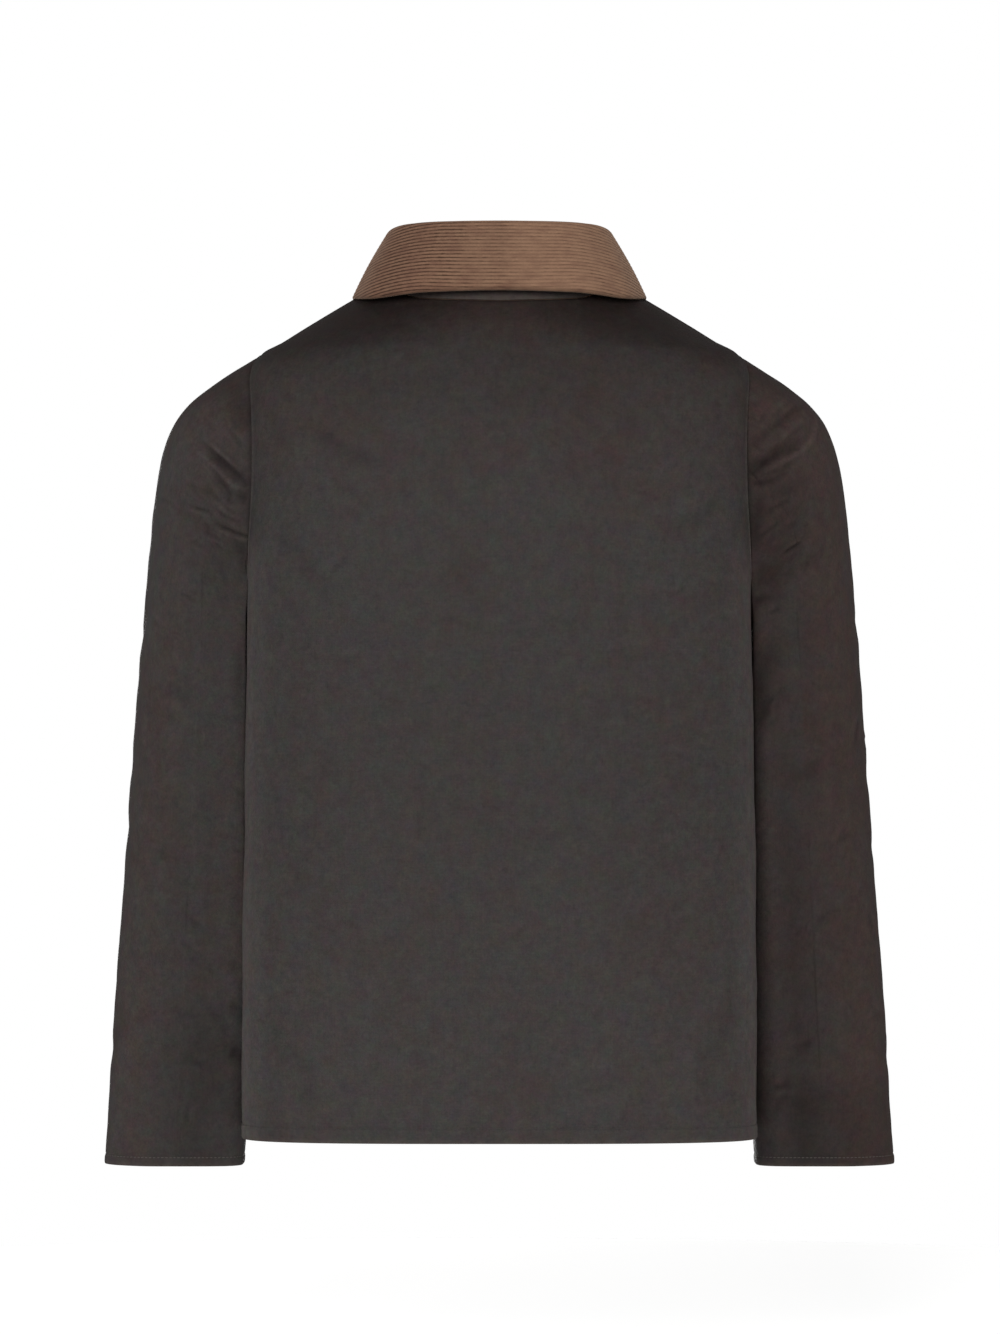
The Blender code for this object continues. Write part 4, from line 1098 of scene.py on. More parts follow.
# The collar: a waxed stand, and corduroy up the inside, over the fold and down the fall
collarShape = {
    "endAngle": 177.0,
    "corduroyWall": 0.0022,
    "rollRadius": 0.0062,
    "rollTurn": 150.0,
    "crown": 0.0012,
    "neckStep": 2.0,
    "standShare": 0.95,
    # degrees from the centre back, top of the inner leg, outer edge of the fall
    "rows": [
        (0, 0.0000, 0.0540, 0.0490, 0.0000, 0.0880, 0.0027),
        (30, 0.0390, 0.0505, 0.0490, 0.0560, 0.0850, 0.0015),
        (60, 0.0675, 0.0330, 0.0480, 0.0980, 0.0570, -0.0018),
        (75, 0.0750, 0.0180, 0.0465, 0.1095, 0.0310, -0.0006),
        (90, 0.0780, 0.0020, 0.0435, 0.1150, 0.0040, 0.0010),
        (102, 0.0740, -0.0130, 0.0360, 0.1145, -0.0220, -0.0005),
        (116, 0.0695, -0.0290, 0.0235, 0.1105, -0.0500, -0.0120),
        (140, 0.0530, -0.0530, -0.0020, 0.0930, -0.0900, -0.0500),
        (160, 0.0310, -0.0710, -0.0280, 0.0770, -0.1110, -0.0850),
        (180, 0.0040, -0.0850, -0.0420, 0.0600, -0.1210, -0.1100),
    ],
    "stations": 220,
    "wale": 0.00315,
    "waleSamples": 5,
    "waleDepth": 0.00055,
    "waleDrop": 0.0105,
    "waleDropFrom": (30, 68),
    "edgeBand": 0.0013,
}


def collarTable():
    rows = np.array(collarShape["rows"], float)
    other = rows[1:][::-1] * np.array([-1, -1, 1, 1, -1, 1, 1])
    return np.vstack([other, rows])


def neckSeam(degrees):
    angle, height = neckPoint(abs(degrees))
    angle = np.copysign(angle, degrees)
    point = bodyPoint(angle, height)
    lapped = (point[..., 0] > -bodyShape["lapHalfWidth"] - cloth["seamGap"]) & (abs(degrees) > 90)
    point = point + bodyOutward(angle, height) * (lapLift(point) * lapped)[..., None]
    return point + np.array([0, 0, cloth["seamGap"]])


def collarLeg(degrees):
    c = collarShape
    table = collarTable()
    seam = neckSeam(degrees)
    roll = through(table, degrees)[..., :3]
    near = np.maximum(degrees - c["neckStep"], -180)
    far = np.minimum(degrees + c["neckStep"], 180)
    along = neckSeam(far) - neckSeam(near) + (through(table, far) - through(table, near))[..., :3]
    up = unit(roll - seam)
    outward = unit(np.cross(up, along))
    foot = seam - outward * (c["corduroyWall"] + cloth["seamGap"] + cloth["wall"])
    return foot, roll, up, outward, unit(along)


def waleDrop(degrees):
    # the wales slant down towards the points of the collar
    return collarShape["waleDrop"] * ramp(abs(degrees), *collarShape["waleDropFrom"])


def collarProfile(degrees, distances):
    # points on the corduroy's face and the way in behind them
    # distances run from the start of the fall: down the fall, or minus back over the roll and down the leg
    c = collarShape
    foot, roll, up, outward, along = collarLeg(degrees)
    edge = through(collarTable(), degrees)[..., 3:]
    radius, turn = c["rollRadius"], math.radians(c["rollTurn"])
    arc = radius * turn
    centre = roll + outward * radius
    start = centre + (outward * math.cos(math.pi - turn) + up * math.sin(math.pi - turn)) * radius
    depth = np.linalg.norm(edge - start, axis=-1)[:, None]
    leg = np.linalg.norm(roll - foot, axis=-1)[:, None]
    d = np.clip(distances[None, :] + waleDrop(degrees)[:, None], -(arc + leg), depth)
    onFall, onRoll = (d > 0)[..., None], (d > -arc)[..., None]
    out, rise, around = outward[:, None], up[:, None], along[:, None]
    share = np.clip(d / depth, 0, 1)[..., None]
    fall = start[:, None] + (edge - start)[:, None] * share + out * c["crown"] * np.sin(math.pi * share)
    down = (edge - start)[:, None] + out * c["crown"] * math.pi * np.cos(math.pi * share)
    bend = math.pi - turn * np.clip(1 + d / arc, 0, 1)[..., None]
    over = centre[:, None] + (out * np.cos(bend) + rise * np.sin(bend)) * radius
    legShare = np.clip((-d - arc) / leg, 0, 1)[..., None]
    inside = roll[:, None] + (foot - roll)[:, None] * legShare
    points = np.where(onFall, fall, np.where(onRoll, over, inside))
    path = np.where(onFall, down, np.where(onRoll, out * np.sin(bend) - rise * np.cos(bend), rise + 0 * out))
    inward = unit(np.cross(unit(path), around + 0 * path))
    fromEdge = np.minimum(depth - d, d + arc + leg)
    return points, inward, d, fromEdge, depth[:, 0], leg[:, 0] + arc


def collarStations():
    half = np.linspace(0, collarShape["endAngle"], collarShape["stations"] // 2 + 1)
    return np.concatenate([-half[:0:-1], half])


# how light the brushed pile lies, and how crisply its wales show, from the right to the left
collarPile = {
    # place round the neck, how light, how crisp
    "round": [
        (-0.300, 1.06, 1.00), (-0.120, 1.06, 1.00), (-0.088, 1.09, 0.80), (-0.072, 1.10, 0.70),
        (-0.047, 1.09, 0.58), (-0.020, 1.08, 0.60), (-0.006, 1.03, 0.75), (0.001, 0.97, 0.85),
        (0.010, 1.01, 0.85), (0.023, 0.99, 0.95), (0.046, 0.93, 1.20), (0.066, 0.87, 1.45),
        (0.085, 0.84, 1.45), (0.300, 0.88, 1.35),
    ],
    "bandSize": 0.034, "bandNap": 0.035, "bandCrisp": 0.25,
    "patchSize": 0.012, "patchNap": 0.03, "patchCrisp": 0.15, "patchEdge": (0.016, -0.015),
    # darker along the fold, and painted shade towards the edge where the fall turns under
    "foldAt": 0.0065, "foldWidth": 0.0016, "foldDark": 0.30, "edgeFrom": (0.0075, -0.0075), "turnedEdgeShade": 0.10,
    "crispLimits": (0.2, 1.6),
}


def collarNap(u, d, fromEdge):
    p = collarPile
    table = through(p["round"], u)
    band = cloudy(u, 0.12 * d, p["bandSize"], 71)
    patch = cloudy(u, d, p["patchSize"], 73)
    onFall = ease(d / 0.003 + 0.5)
    lowEdge = onFall * ramp(fromEdge, *p["patchEdge"])
    nap = table[..., 0] + p["bandNap"] * band + p["patchNap"] * patch * (1 + 1.5 * lowEdge)
    nap = nap - p["foldDark"] * bump(d + p["foldAt"], p["foldWidth"])
    nap = nap - p["turnedEdgeShade"] * onFall * ramp(fromEdge, *p["edgeFrom"])
    crisp = table[..., 1] * (1 + p["bandCrisp"] * band + p["patchCrisp"] * patch)
    return nap, np.clip(crisp, *p["crispLimits"])


def makeCollar():
    c = collarShape
    degrees = collarStations()
    step = c["wale"] / c["waleSamples"]
    *_, depth, back = collarProfile(degrees, np.zeros(1))
    first, last = back.max() + c["waleDrop"], depth.max()
    distances = np.arange(-math.ceil(first / step), math.ceil(last / step) + 1) * step
    points, inward, d, fromEdge, _, _ = collarProfile(degrees, distances)
    # rows follow the profile, columns run round the neck
    points, inward = np.swapaxes(points, 0, 1), np.swapaxes(inward, 0, 1)
    d, fromEdge = d.T, fromEdge.T
    walk = lengthAlong(points, 1)
    fromEnd = np.minimum(walk, walk[:, -1:] - walk)
    middle = walk[np.searchsorted(distances, 0.02)]
    u = (middle - middle[-1] / 2)[None, :] + 0 * d
    phase = distances[:, None] / c["wale"] + 0.06 * cloudy(u, d, 0.05, 61)
    relief = 1 - abs(np.sin(math.pi * phase)) ** 0.7
    calm = ease(fromEdge / c["edgeBand"]) * ease(fromEnd / c["edgeBand"])
    sunk = c["waleDepth"] * relief * calm + 0.0006 * (1 - ease(fromEdge / 0.0010))
    nap, crisp = collarNap(u, d, fromEdge)
    # the worn mask marks the collar's edges, which the corduroy's material darkens as painted shade where they
    # turn under
    masks = {"worn": bump(np.minimum(fromEdge, fromEnd), 0.0020), "crest": 1 - relief * calm,
             "nap": nap, "crisp": crisp}
    layers = {"map": (u, d), "masks": masks}
    reverse = points + inward * c["corduroyWall"]
    piece = makeSheet("collar_corduroy", points + inward * sunk[..., None], False, 0, layers, inner=reverse)
    # where the fall is shallower some wales end at its edge, so the points there fall together
    shape = bmesh.new()
    shape.from_mesh(piece.data)
    bmesh.ops.remove_doubles(shape, verts=shape.verts[:], dist=2e-6)
    bmesh.ops.dissolve_degenerate(shape, edges=shape.edges[:], dist=1e-6)
    shape.to_mesh(piece.data)
    shape.free()
    return piece


def makeStand():
    c = collarShape
    degrees = collarStations()[::-1]
    foot, roll, _, outward, _ = collarLeg(degrees)
    share = np.linspace(0, c["standShare"], 15)[:, None, None]
    leg = foot[None] + (roll - foot)[None] * share
    beyond = c["corduroyWall"] + cloth["seamGap"]
    points = leg + outward[None] * (beyond + cloth["wall"])
    inner = leg + outward[None] * beyond
    up = lengthAlong(points, 0)
    around = lengthAlong(points, 1)
    u = around - around[:, -1:] / 2
    # the stand is lightened with painted light where the fall shades it, and half its painted grey sheen gives
    # way to brown
    masks = {"worn": bump(up, 0.0015), "paintedlight": 0.42 + 0 * u, "brownunsheened": 0.55 + 0.1 * cloudy(u, up, 0.06, 66)}
    outer = points - outward[None] * (0.0004 * bump(up, 0.0008))[..., None]
    return makeSheet("stand_cloth", outer, False, 0, {"map": (u, up), "masks": masks}, inner=inner)


# Rows of stitches, each one a small bar of thread sunk half into the cloth
thread = {
    "pitch": 0.0032, "length": 0.0023, "width": 0.00055, "height": 0.00042, "rise": 0.00012,
    "lapInset": 0.006,
    # how far ahead and behind a stitch looks for its direction, its mean turn and spread, its spread in length
    "look": 0.001, "askew": (0.05, 0.05), "uneven": 0.06, "seed": 100,
}


def makeStitchShape():
    deselectAll()
    bpy.ops.mesh.primitive_uv_sphere_add(segments=8, ring_count=5, radius=0.5)
    stitch = bpy.context.object
    stitch.name = "one_stitch"
    vertices = np.array([v.co[:] for v in stitch.data.vertices])
    # the poles lie at the ends of the bar
    vertices = vertices[:, [2, 0, 1]] * np.array([thread["length"], thread["width"], thread["height"]])
    faces = [list(face.vertices) for face in stitch.data.polygons]
    bpy.data.objects.remove(stitch)
    return vertices, faces


def lineInGrid(points, distance, at):
    # the line through a grid's columns where the distance from the first row is `at`
    place = (distance < at).sum(0)
    place = np.clip(place, 1, len(points) - 1)
    column = np.arange(points.shape[1])
    low, high = distance[place - 1, column], distance[place, column]
    t = ((at - low) / (high - low))[:, None]
    outward = gridOutward(points)
    line = points[place - 1, column] * (1 - t) + points[place, column] * t
    return line, unit(outward[place - 1, column] * (1 - t) + outward[place, column] * t)


def makeStitches(name, line, outward, shape, closed=False):
    # one row of stitches as one mesh, each stitch a copy of the shape
    if closed:
        line, outward = np.vstack([line, line[:1]]), np.vstack([outward, outward[:1]])
    walk = lengthAlong(line[:, None], 0)[:, 0]
    count = int(walk[-1] / thread["pitch"])
    at = (np.arange(count) + 0.5) * walk[-1] / count
    draw = np.random.default_rng(thread["seed"])

    def follow(values, places):
        return np.stack([np.interp(places, walk, values[:, k]) for k in range(3)], 1)

    up = unit(follow(outward, at))
    ahead = unit(follow(line, at + thread["look"]) - follow(line, at - thread["look"]))
    across = unit(np.cross(up, ahead))
    askew = draw.normal(*thread["askew"], (count, 1))
    ahead, across = ahead + across * askew, across - ahead * askew
    vertices, faces = shape
    size = draw.normal(1, thread["uneven"], (count, 1, 1))
    placed = (follow(line, at)[:, None] + up[:, None] * (thread["rise"] + vertices[None, :, 2:3])
              + (ahead[:, None] * vertices[None, :, 0:1]) * size + across[:, None] * vertices[None, :, 1:2])
    every = [[n * len(vertices) + index for index in face] for n in range(count) for face in faces]
    mesh = bpy.data.meshes.new(name)
    mesh.from_pydata(placed.reshape(-1, 3).tolist(), [], every)
    mesh.shade_smooth()
    return newPiece(name, mesh)


# The buttons, their thread and the buttonholes
buttonShape = {
    "count": 6, "top": -0.110, "spacing": 0.098,
    "radius": 0.009, "thickness": 0.0032, "rim": 0.0019, "rimRise": 0.00025, "dish": 0.0009,
    "hole": 0.00095, "holeOffset": 0.0019, "edge": 0.0006,
    "threadRadius": 0.00055,
    "buttonholeLength": 0.021, "buttonholeWidth": 0.0034, "buttonholeShift": 0.0075,
    "buttonholeThread": 0.0006,
}


def makeButtonShape():
    b = buttonShape
    deselectAll()
    bpy.ops.mesh.primitive_cylinder_add(vertices=48, radius=b["radius"], depth=b["thickness"],
                                        location=(0, 0, b["thickness"] / 2))
    button = bpy.context.object
    bpy.ops.object.transform_apply(location=True)
    bpy.ops.object.mode_set(mode="EDIT")
    bpy.ops.mesh.select_mode(type="FACE")
    bpy.ops.mesh.select_all(action="DESELECT")
    bpy.ops.object.mode_set(mode="OBJECT")
    for face in button.data.polygons:
        face.select = face.normal.z > 0.9
    bpy.ops.object.mode_set(mode="EDIT")
    # from the rim to the middle: how far in, and how far up or down
    for inward, upward in ((b["rim"] * 0.55, b["rimRise"]), (b["rim"] * 0.45, 0),
                           (0.0008, -b["dish"]), (0.0012, -0.0001)):
        bpy.ops.mesh.inset(thickness=inward, depth=upward)
    bpy.ops.object.mode_set(mode="OBJECT")
    applyModifier(button, "BEVEL", width=b["edge"], segments=3, limit_method="ANGLE",
                  angle_limit=math.radians(24))
    deselectAll()
    rods = []
    for across in (-1, 1):
        for up in (-1, 1):
            bpy.ops.mesh.primitive_cylinder_add(vertices=16, radius=b["hole"], depth=0.02,
                                                location=(across * b["holeOffset"], up * b["holeOffset"], 0))
            rods.append(bpy.context.object)
    cutter = joinAll(rods)
    bpy.ops.object.transform_apply(location=True)
    activate(button)
    applyModifier(button, "BOOLEAN", operation="DIFFERENCE", solver="EXACT", object=cutter)
    bpy.data.objects.remove(cutter)
    bpy.ops.object.shade_smooth_by_angle(angle=math.radians(30))
    return button


def makeThreadShape():
    # two bars of several strands through the four holes
    b = buttonShape
    deselectAll()
    bars = []
    height = b["thickness"] + b["rimRise"] - b["dish"]
    for up in (-1, 1):
        for strand in (-0.5, 0.5):
            bpy.ops.mesh.primitive_uv_sphere_add(
                segments=10, ring_count=7, radius=0.5,
                location=(0, up * b["holeOffset"] + strand * b["threadRadius"] * 1.1, height),
                scale=(b["holeOffset"] * 2 + b["hole"] * 1.5, b["threadRadius"] * 1.3, b["threadRadius"] * 2.6))
            bars.append(bpy.context.object)
    joined = joinAll(bars)
    bpy.ops.object.transform_apply(location=True, rotation=True, scale=True)
    bpy.ops.object.shade_smooth()
    return joined


def makeButtonholeShape():
    # a long low ring of thread
    b = buttonShape
    deselectAll()
    bpy.ops.mesh.primitive_torus_add(major_segments=72, minor_segments=8,
                                     major_radius=b["buttonholeWidth"] / 2 - b["buttonholeThread"],
                                     minor_radius=b["buttonholeThread"])
    ring = bpy.context.object
    stretch = (b["buttonholeLength"] - b["buttonholeWidth"]) / 2
    for vertex in ring.data.vertices:
        x, y, z = vertex.co
        turn = math.atan2(y, x)
        # the straight sides take most of the ring's length
        side = np.clip(math.cos(turn) * 1.6, -1, 1)
        vertex.co.x = x + stretch * side
        vertex.co.z = z * 0.7
    bpy.ops.object.shade_smooth()
    return ring


def placeCopies(shape, name, places):
    # a copy of the shape at each place, each with its own mesh
    vertices = np.array([v.co[:] for v in shape.data.vertices])
    pieces = []
    for k, (origin, facing) in enumerate(places):
        across = unit(np.cross(np.array([0, 0, 1.0]), facing))
        up = np.cross(facing, across)
        moved = origin + vertices @ np.stack([across, up, facing])
        mesh = shape.data.copy()
        mesh.vertices.foreach_set("co", moved.astype(np.float32).ravel())
        mesh.update()
        pieces.append(newPiece(f"{name}_{k + 1}", mesh))
    bpy.data.objects.remove(shape)
    return pieces


def joinCopies(shape, name, places):
    joined = joinAll(placeCopies(shape, name, places))
    joined.name = name
    return joined


def onSurface(piece, x, height, lift):
    # straight ahead of the body's front at this height
    _, place, normal, _ = piece.ray_cast(Vector((x, -0.5, height)), Vector((0, 1, 0)))
    return np.array(place) + np.array(normal) * lift, np.array(normal)


def makeButtons(front):
    b = buttonShape
    heights = [b["top"] - k * b["spacing"] for k in range(b["count"])]
    seats = [onSurface(front, 0.0, height, cloth["seamGap"]) for height in heights]
    holes = [onSurface(front, b["buttonholeShift"], height, 0.0) for height in heights]
    buttons = placeCopies(makeButtonShape(), "horn_button", seats)
    threads = joinCopies(makeThreadShape(), "button_threads", seats)
    return buttons, threads, joinCopies(makeButtonholeShape(), "buttonholes", holes)


# Materials. A helper places a node and links or sets its inputs by name or number.
def addNode(tree, kind, inputs=None, **settings):
    made = tree.nodes.new(kind)
    for key, value in settings.items():
        setattr(made, key, value)
    for key, value in (inputs or {}).items():
        if isinstance(value, bpy.types.NodeSocket):
            tree.links.new(value, made.inputs[key])
        else:
            made.inputs[key].default_value = value
    return made


def calc(tree, operation, first, second=0.0, third=0.0, clamp=False):
    made = addNode(tree, "ShaderNodeMath", {0: first, 1: second, 2: third}, operation=operation, use_clamp=clamp)
    return made.outputs[0]


def between01(tree, value, low, high):
    # 0 at low, 1 at high, smooth between
    made = addNode(tree, "ShaderNodeMapRange", {0: value, 1: low, 2: high}, interpolation_type="SMOOTHSTEP")
    return made.outputs[0]


def mixColour(tree, share, first, second):
    made = addNode(tree, "ShaderNodeMix", {0: share, 6: first, 7: second}, data_type="RGBA")
    return made.outputs[2]


def noiseField(tree, vector, scale, detail=2.0, rough=0.5, stretch=(1, 1, 1), kind="FBM"):
    placed = addNode(tree, "ShaderNodeMapping", {"Vector": vector, "Scale": stretch})
    made = addNode(tree, "ShaderNodeTexNoise",
                   {"Vector": placed.outputs[0], "Scale": scale, "Detail": detail, "Roughness": rough},
                   noise_type=kind)
    return made.outputs[0]


def centred(tree, field):
    return calc(tree, "SUBTRACT", field, 0.5)


def addUp(tree, start, fields, shares):
    # start, plus each named field times its share
    for name, share in shares.items():
        start = calc(tree, "MULTIPLY_ADD", fields[name], share, start)
    return start


def scaled(tree, colour, factor):
    made = addNode(tree, "ShaderNodeVectorMath", {0: colour}, operation="SCALE")
    tree.links.new(factor, made.inputs["Scale"])
    return made.outputs[0]


def startGroup(name, inputs):
    # an input without a value is a vector, and one with four numbers is a colour
    tree = bpy.data.node_groups.new(name, "ShaderNodeTree")
    for label, value in inputs.items():
        kind = "Vector" if value is None else "Color" if isinstance(value, tuple) else "Float"
        socket = tree.interface.new_socket(name=label, in_out="INPUT", socket_type="NodeSocket" + kind)
        if value is not None:
            socket.default_value = value
    for label, kind in (("Colour", "Color"), ("Roughness", "Float"), ("Height", "Float")):
        tree.interface.new_socket(name=label, in_out="OUTPUT", socket_type="NodeSocket" + kind)
    return tree, tree.nodes.new("NodeGroupInput").outputs


def endGroup(tree, colour, roughness, height):
    put = tree.nodes.new("NodeGroupOutput").inputs
    for label, value in (("Colour", colour), ("Roughness", roughness), ("Height", height)):
        tree.links.new(value, put[label])
    return tree


waxedLook = {
    # grey is the wax under a painted sheen of the front light, brown the wax without it
    "greySheen": (0.0384, 0.0340, 0.0327, 1),
    "brown": (0.0352, 0.0240, 0.0216, 1),
    "worn": (0.0760, 0.0620, 0.0520, 1),
    "lint": (0.16, 0.15, 0.14, 1),
    "roughness": 0.70,
    "specular": 0.10,
    "threadPitch": 0.00062,
    "slub": 0.0011,
    # scale, detail and roughness of each field in the wax
    "fields": {"mottle": (190.0, 4.0, 0.62), "grit": (620.0, 2.0, 0.5),
               "hue": (62.0, 3.0, 0.5), "cloud": (17.0, 3.0, 0.5)},
    # how much each one tints the wax, and raises the cloth; the crumple's tint is painted shade in its hollows
    # and painted light on its ridges
    "tints": {"mottle": 0.72, "grit": 0.45, "threads": 0.16, "cloud": 0.14, "crumpleShade": 0.05},
    "raises": {"weave": 0.016, "mottle": 0.16, "grit": 0.10, "crumple": 0.30},
    # slight drifts of hue, wide and narrow: scale and strength
    "drifts": ((85.0, 0.42), (420.0, 0.30)),
    # the darkest and lightest that the painted light and shade may be, and how strongly they tell
    "paintedLightRange": (-1.0, 1.8, 0.62),
}

corduroyLook = {
    "crest": (0.224, 0.129, 0.082, 1),
    # the valley colour is painted shade in the hollows between the wales
    "valleyShade": (0.050, 0.026, 0.016, 1),
    "dark": (0.116, 0.057, 0.040, 1),
    "redder": (1.08, 0.93, 0.96),
    "roughness": 0.95,
    "specular": 0.12,
    "sheen": {"Weight": 0.25, "Roughness": 0.45, "Tint": (0.75, 0.55, 0.42, 1)},
    # how closely each field in the pile is packed, along the wales and across them
    "fields": {"pile": (700, 1300, 1), "tuft": (240, 420, 1), "brushed": (95, 26, 1), "patch": (70, 150, 1)},
}


def waxedGroup():
    look = waxedLook
    tree, given = startGroup("waxedWeave", {
        "Map": None, "Place": None, "GreySheen": look["greySheen"], "Brown": look["brown"],
        "Brownunsheened": 0.0, "Worn": 0.0, "Paintedlight": 0.0})
    along, place = given["Map"], given["Place"]
    fine = 1 / look["slub"]
    warp = noiseField(tree, along, 1.0, 1.0, stretch=(fine, fine / 16, 1))
    weft = noiseField(tree, along, 1.0, 1.0, stretch=(fine / 16, fine, 1))
    threads = calc(tree, "SUBTRACT", calc(tree, "ADD", warp, weft), 1.0)
    apart = addNode(tree, "ShaderNodeSeparateXYZ", {0: along})
    turn = 2 * math.pi / look["threadPitch"]
    waves = [calc(tree, "SINE", calc(tree, "MULTIPLY", apart.outputs[k], turn)) for k in range(2)]
    crumple = noiseField(tree, place, 46.0, 3.0, 0.6, kind="RIDGED_MULTIFRACTAL")
    fields = {name: centred(tree, noiseField(tree, place, *kind)) for name, kind in look["fields"].items()}
    fields |= {"threads": threads, "weave": calc(tree, "MULTIPLY", *waves),
               "crumple": crumple, "crumpleShade": centred(tree, crumple)}
    # painted sheen: grey where the front light's sheen is painted on, brown where the cloth turns from it,
    # varied at random by the hue and cloud fields
    brown = addUp(tree, given["Brownunsheened"], fields, {"hue": 1.1})
    brown = calc(tree, "MULTIPLY_ADD", fields["cloud"], 0.9, brown, clamp=True)
    colour = mixColour(tree, brown, given["GreySheen"], given["Brown"])
    # the mask's painted shade and highlights scale the wax's colour
    darkest, lightest, strength = look["paintedLightRange"]
    paintedLightRange = calc(tree, "MINIMUM", calc(tree, "MAXIMUM", given["Paintedlight"], darkest), lightest)
    tone = addUp(tree, 1.0, fields, look["tints"])
    tone = calc(tree, "MULTIPLY", tone, calc(tree, "MULTIPLY_ADD", paintedLightRange, strength, 1.0))
    for scale, share in look["drifts"]:
        drift = addNode(tree, "ShaderNodeTexNoise", {"Vector": place, "Scale": scale, "Detail": 2.0})
        drift = addNode(tree, "ShaderNodeVectorMath",
                        {0: drift.outputs["Color"], 1: (share, share, share * 0.6),
                         2: (1 - share / 2, 1 - share / 2, 1 - share * 0.3)}, operation="MULTIPLY_ADD")
        colour = addNode(tree, "ShaderNodeVectorMath", {0: colour, 1: drift.outputs[0]}, operation="MULTIPLY")
        colour = colour.outputs[0]
    # the worn colour shows the wear at the edges and the painted highlight on the seam ridges
    rubbedAndLit = calc(tree, "MULTIPLY_ADD", fields["mottle"], 1.2, 0.40)
    edge = calc(tree, "MULTIPLY", given["Worn"], rubbedAndLit, clamp=True)
    colour = mixColour(tree, edge, scaled(tree, colour, tone), look["worn"])
    # a few pale specks of lint and dried wax
    lint = addNode(tree, "ShaderNodeTexVoronoi", {"Vector": place, "Scale": 26.0})
    near = calc(tree, "SUBTRACT", 1.0, between01(tree, lint.outputs["Distance"], 0.010, 0.022))
    chosen = addNode(tree, "ShaderNodeSeparateColor", {0: lint.outputs["Color"]})
    speck = calc(tree, "MULTIPLY", near, calc(tree, "GREATER_THAN", chosen.outputs[0], 0.80))
    colour = mixColour(tree, calc(tree, "MULTIPLY", speck, 0.35), colour, look["lint"])
    rough = calc(tree, "MULTIPLY_ADD", fields["mottle"], 0.25, look["roughness"])
    rough = calc(tree, "MULTIPLY_ADD", given["Worn"], 0.08, rough)
    height = addUp(tree, calc(tree, "MULTIPLY", threads, 0.05), fields, look["raises"])
    return endGroup(tree, colour, rough, height)


def corduroyGroup():
    look = corduroyLook
    tree, given = startGroup("corduroyPile", {"Map": None, "Crest": 1.0, "Worn": 0.0, "Nap": 1.0, "Crisp": 1.0})
    fields = {name: centred(tree, noiseField(tree, given["Map"], 1.0, stretch=packed))
              for name, packed in look["fields"].items()}
    crest = calc(tree, "MULTIPLY_ADD", fields["tuft"], 0.75, given["Crest"], clamp=True)
    # the brushed pile shows its wales more in some places than in others; their valleys are darkened with
    # painted shade
    depth = addUp(tree, given["Crisp"], fields, {"brushed": 0.9})
    hidden = calc(tree, "MULTIPLY", depth, calc(tree, "SUBTRACT", 1.0, crest))
    shown = calc(tree, "SUBTRACT", 1.0, hidden, clamp=True)
    colour = mixColour(tree, between01(tree, shown, 0.0, 0.95), look["valleyShade"], look["crest"])
    shade = calc(tree, "MULTIPLY_ADD", fields["patch"], -1.6, 0.10, clamp=True)
    colour = mixColour(tree, shade, colour, look["dark"])
    # redder where the pile lies dark
    pressed = calc(tree, "MULTIPLY_ADD", given["Nap"], -2.4, 2.4, clamp=True)
    redder = addNode(tree, "ShaderNodeVectorMath", {0: colour, 1: look["redder"]}, operation="MULTIPLY")
    colour = mixColour(tree, pressed, colour, redder.outputs[0])
    tone = addUp(tree, given["Nap"], fields, {"pile": 0.5, "brushed": 0.28})
    # darker at the edges: painted shade where the collar's edges turn under
    tone = calc(tree, "MULTIPLY", tone, calc(tree, "MULTIPLY_ADD", given["Worn"], -0.45, 1.0))
    rough = calc(tree, "MULTIPLY_ADD", fields["pile"], 0.1, look["roughness"], clamp=True)
    height = addUp(tree, calc(tree, "MULTIPLY", fields["pile"], 0.10), fields, {"tuft": 0.18})
    return endGroup(tree, scaled(tree, colour, tone), rough, height)


def startMaterial(name, specular):
    material = bpy.data.materials.new(name)
    material.use_nodes = True
    shader = material.node_tree.nodes["Principled BSDF"]
    shader.inputs["Specular IOR Level"].default_value = specular
    return material, material.node_tree, shader


def giveRelief(tree, shader, height, distance):
    relief = addNode(tree, "ShaderNodeBump", {"Height": height, "Distance": distance})
    tree.links.new(relief.outputs[0], shader.inputs["Normal"])


def clothMaterial(name, group, specular, masks):
    # the group's inputs are named after the masks that the cloth's mesh carries
    material, tree, shader = startMaterial(name, specular)
    inputs = {mask.capitalize(): addNode(tree, "ShaderNodeAttribute", attribute_name=mask).outputs["Fac"]
              for mask in masks}
    inputs["Map"] = addNode(tree, "ShaderNodeUVMap", uv_map="cloth").outputs[0]
    if "brownunsheened" in masks:
        inputs["Place"] = addNode(tree, "ShaderNodeTexCoord").outputs["Object"]
    used = addNode(tree, "ShaderNodeGroup", inputs, node_tree=group)
    tree.links.new(used.outputs["Colour"], shader.inputs["Base Color"])
    tree.links.new(used.outputs["Roughness"], shader.inputs["Roughness"])
    giveRelief(tree, shader, used.outputs["Height"], 0.001)
    return material, shader


def waxedMaterial():
    return clothMaterial("waxedCotton", waxedGroup(), waxedLook["specular"], ("brownunsheened", "worn", "paintedlight"))[0]


def corduroyMaterial():
    material, shader = clothMaterial("brushedCorduroy", corduroyGroup(), corduroyLook["specular"],
                                     ("crest", "worn", "nap", "crisp"))
    for part, value in corduroyLook["sheen"].items():
        shader.inputs["Sheen " + part].default_value = value
    return material


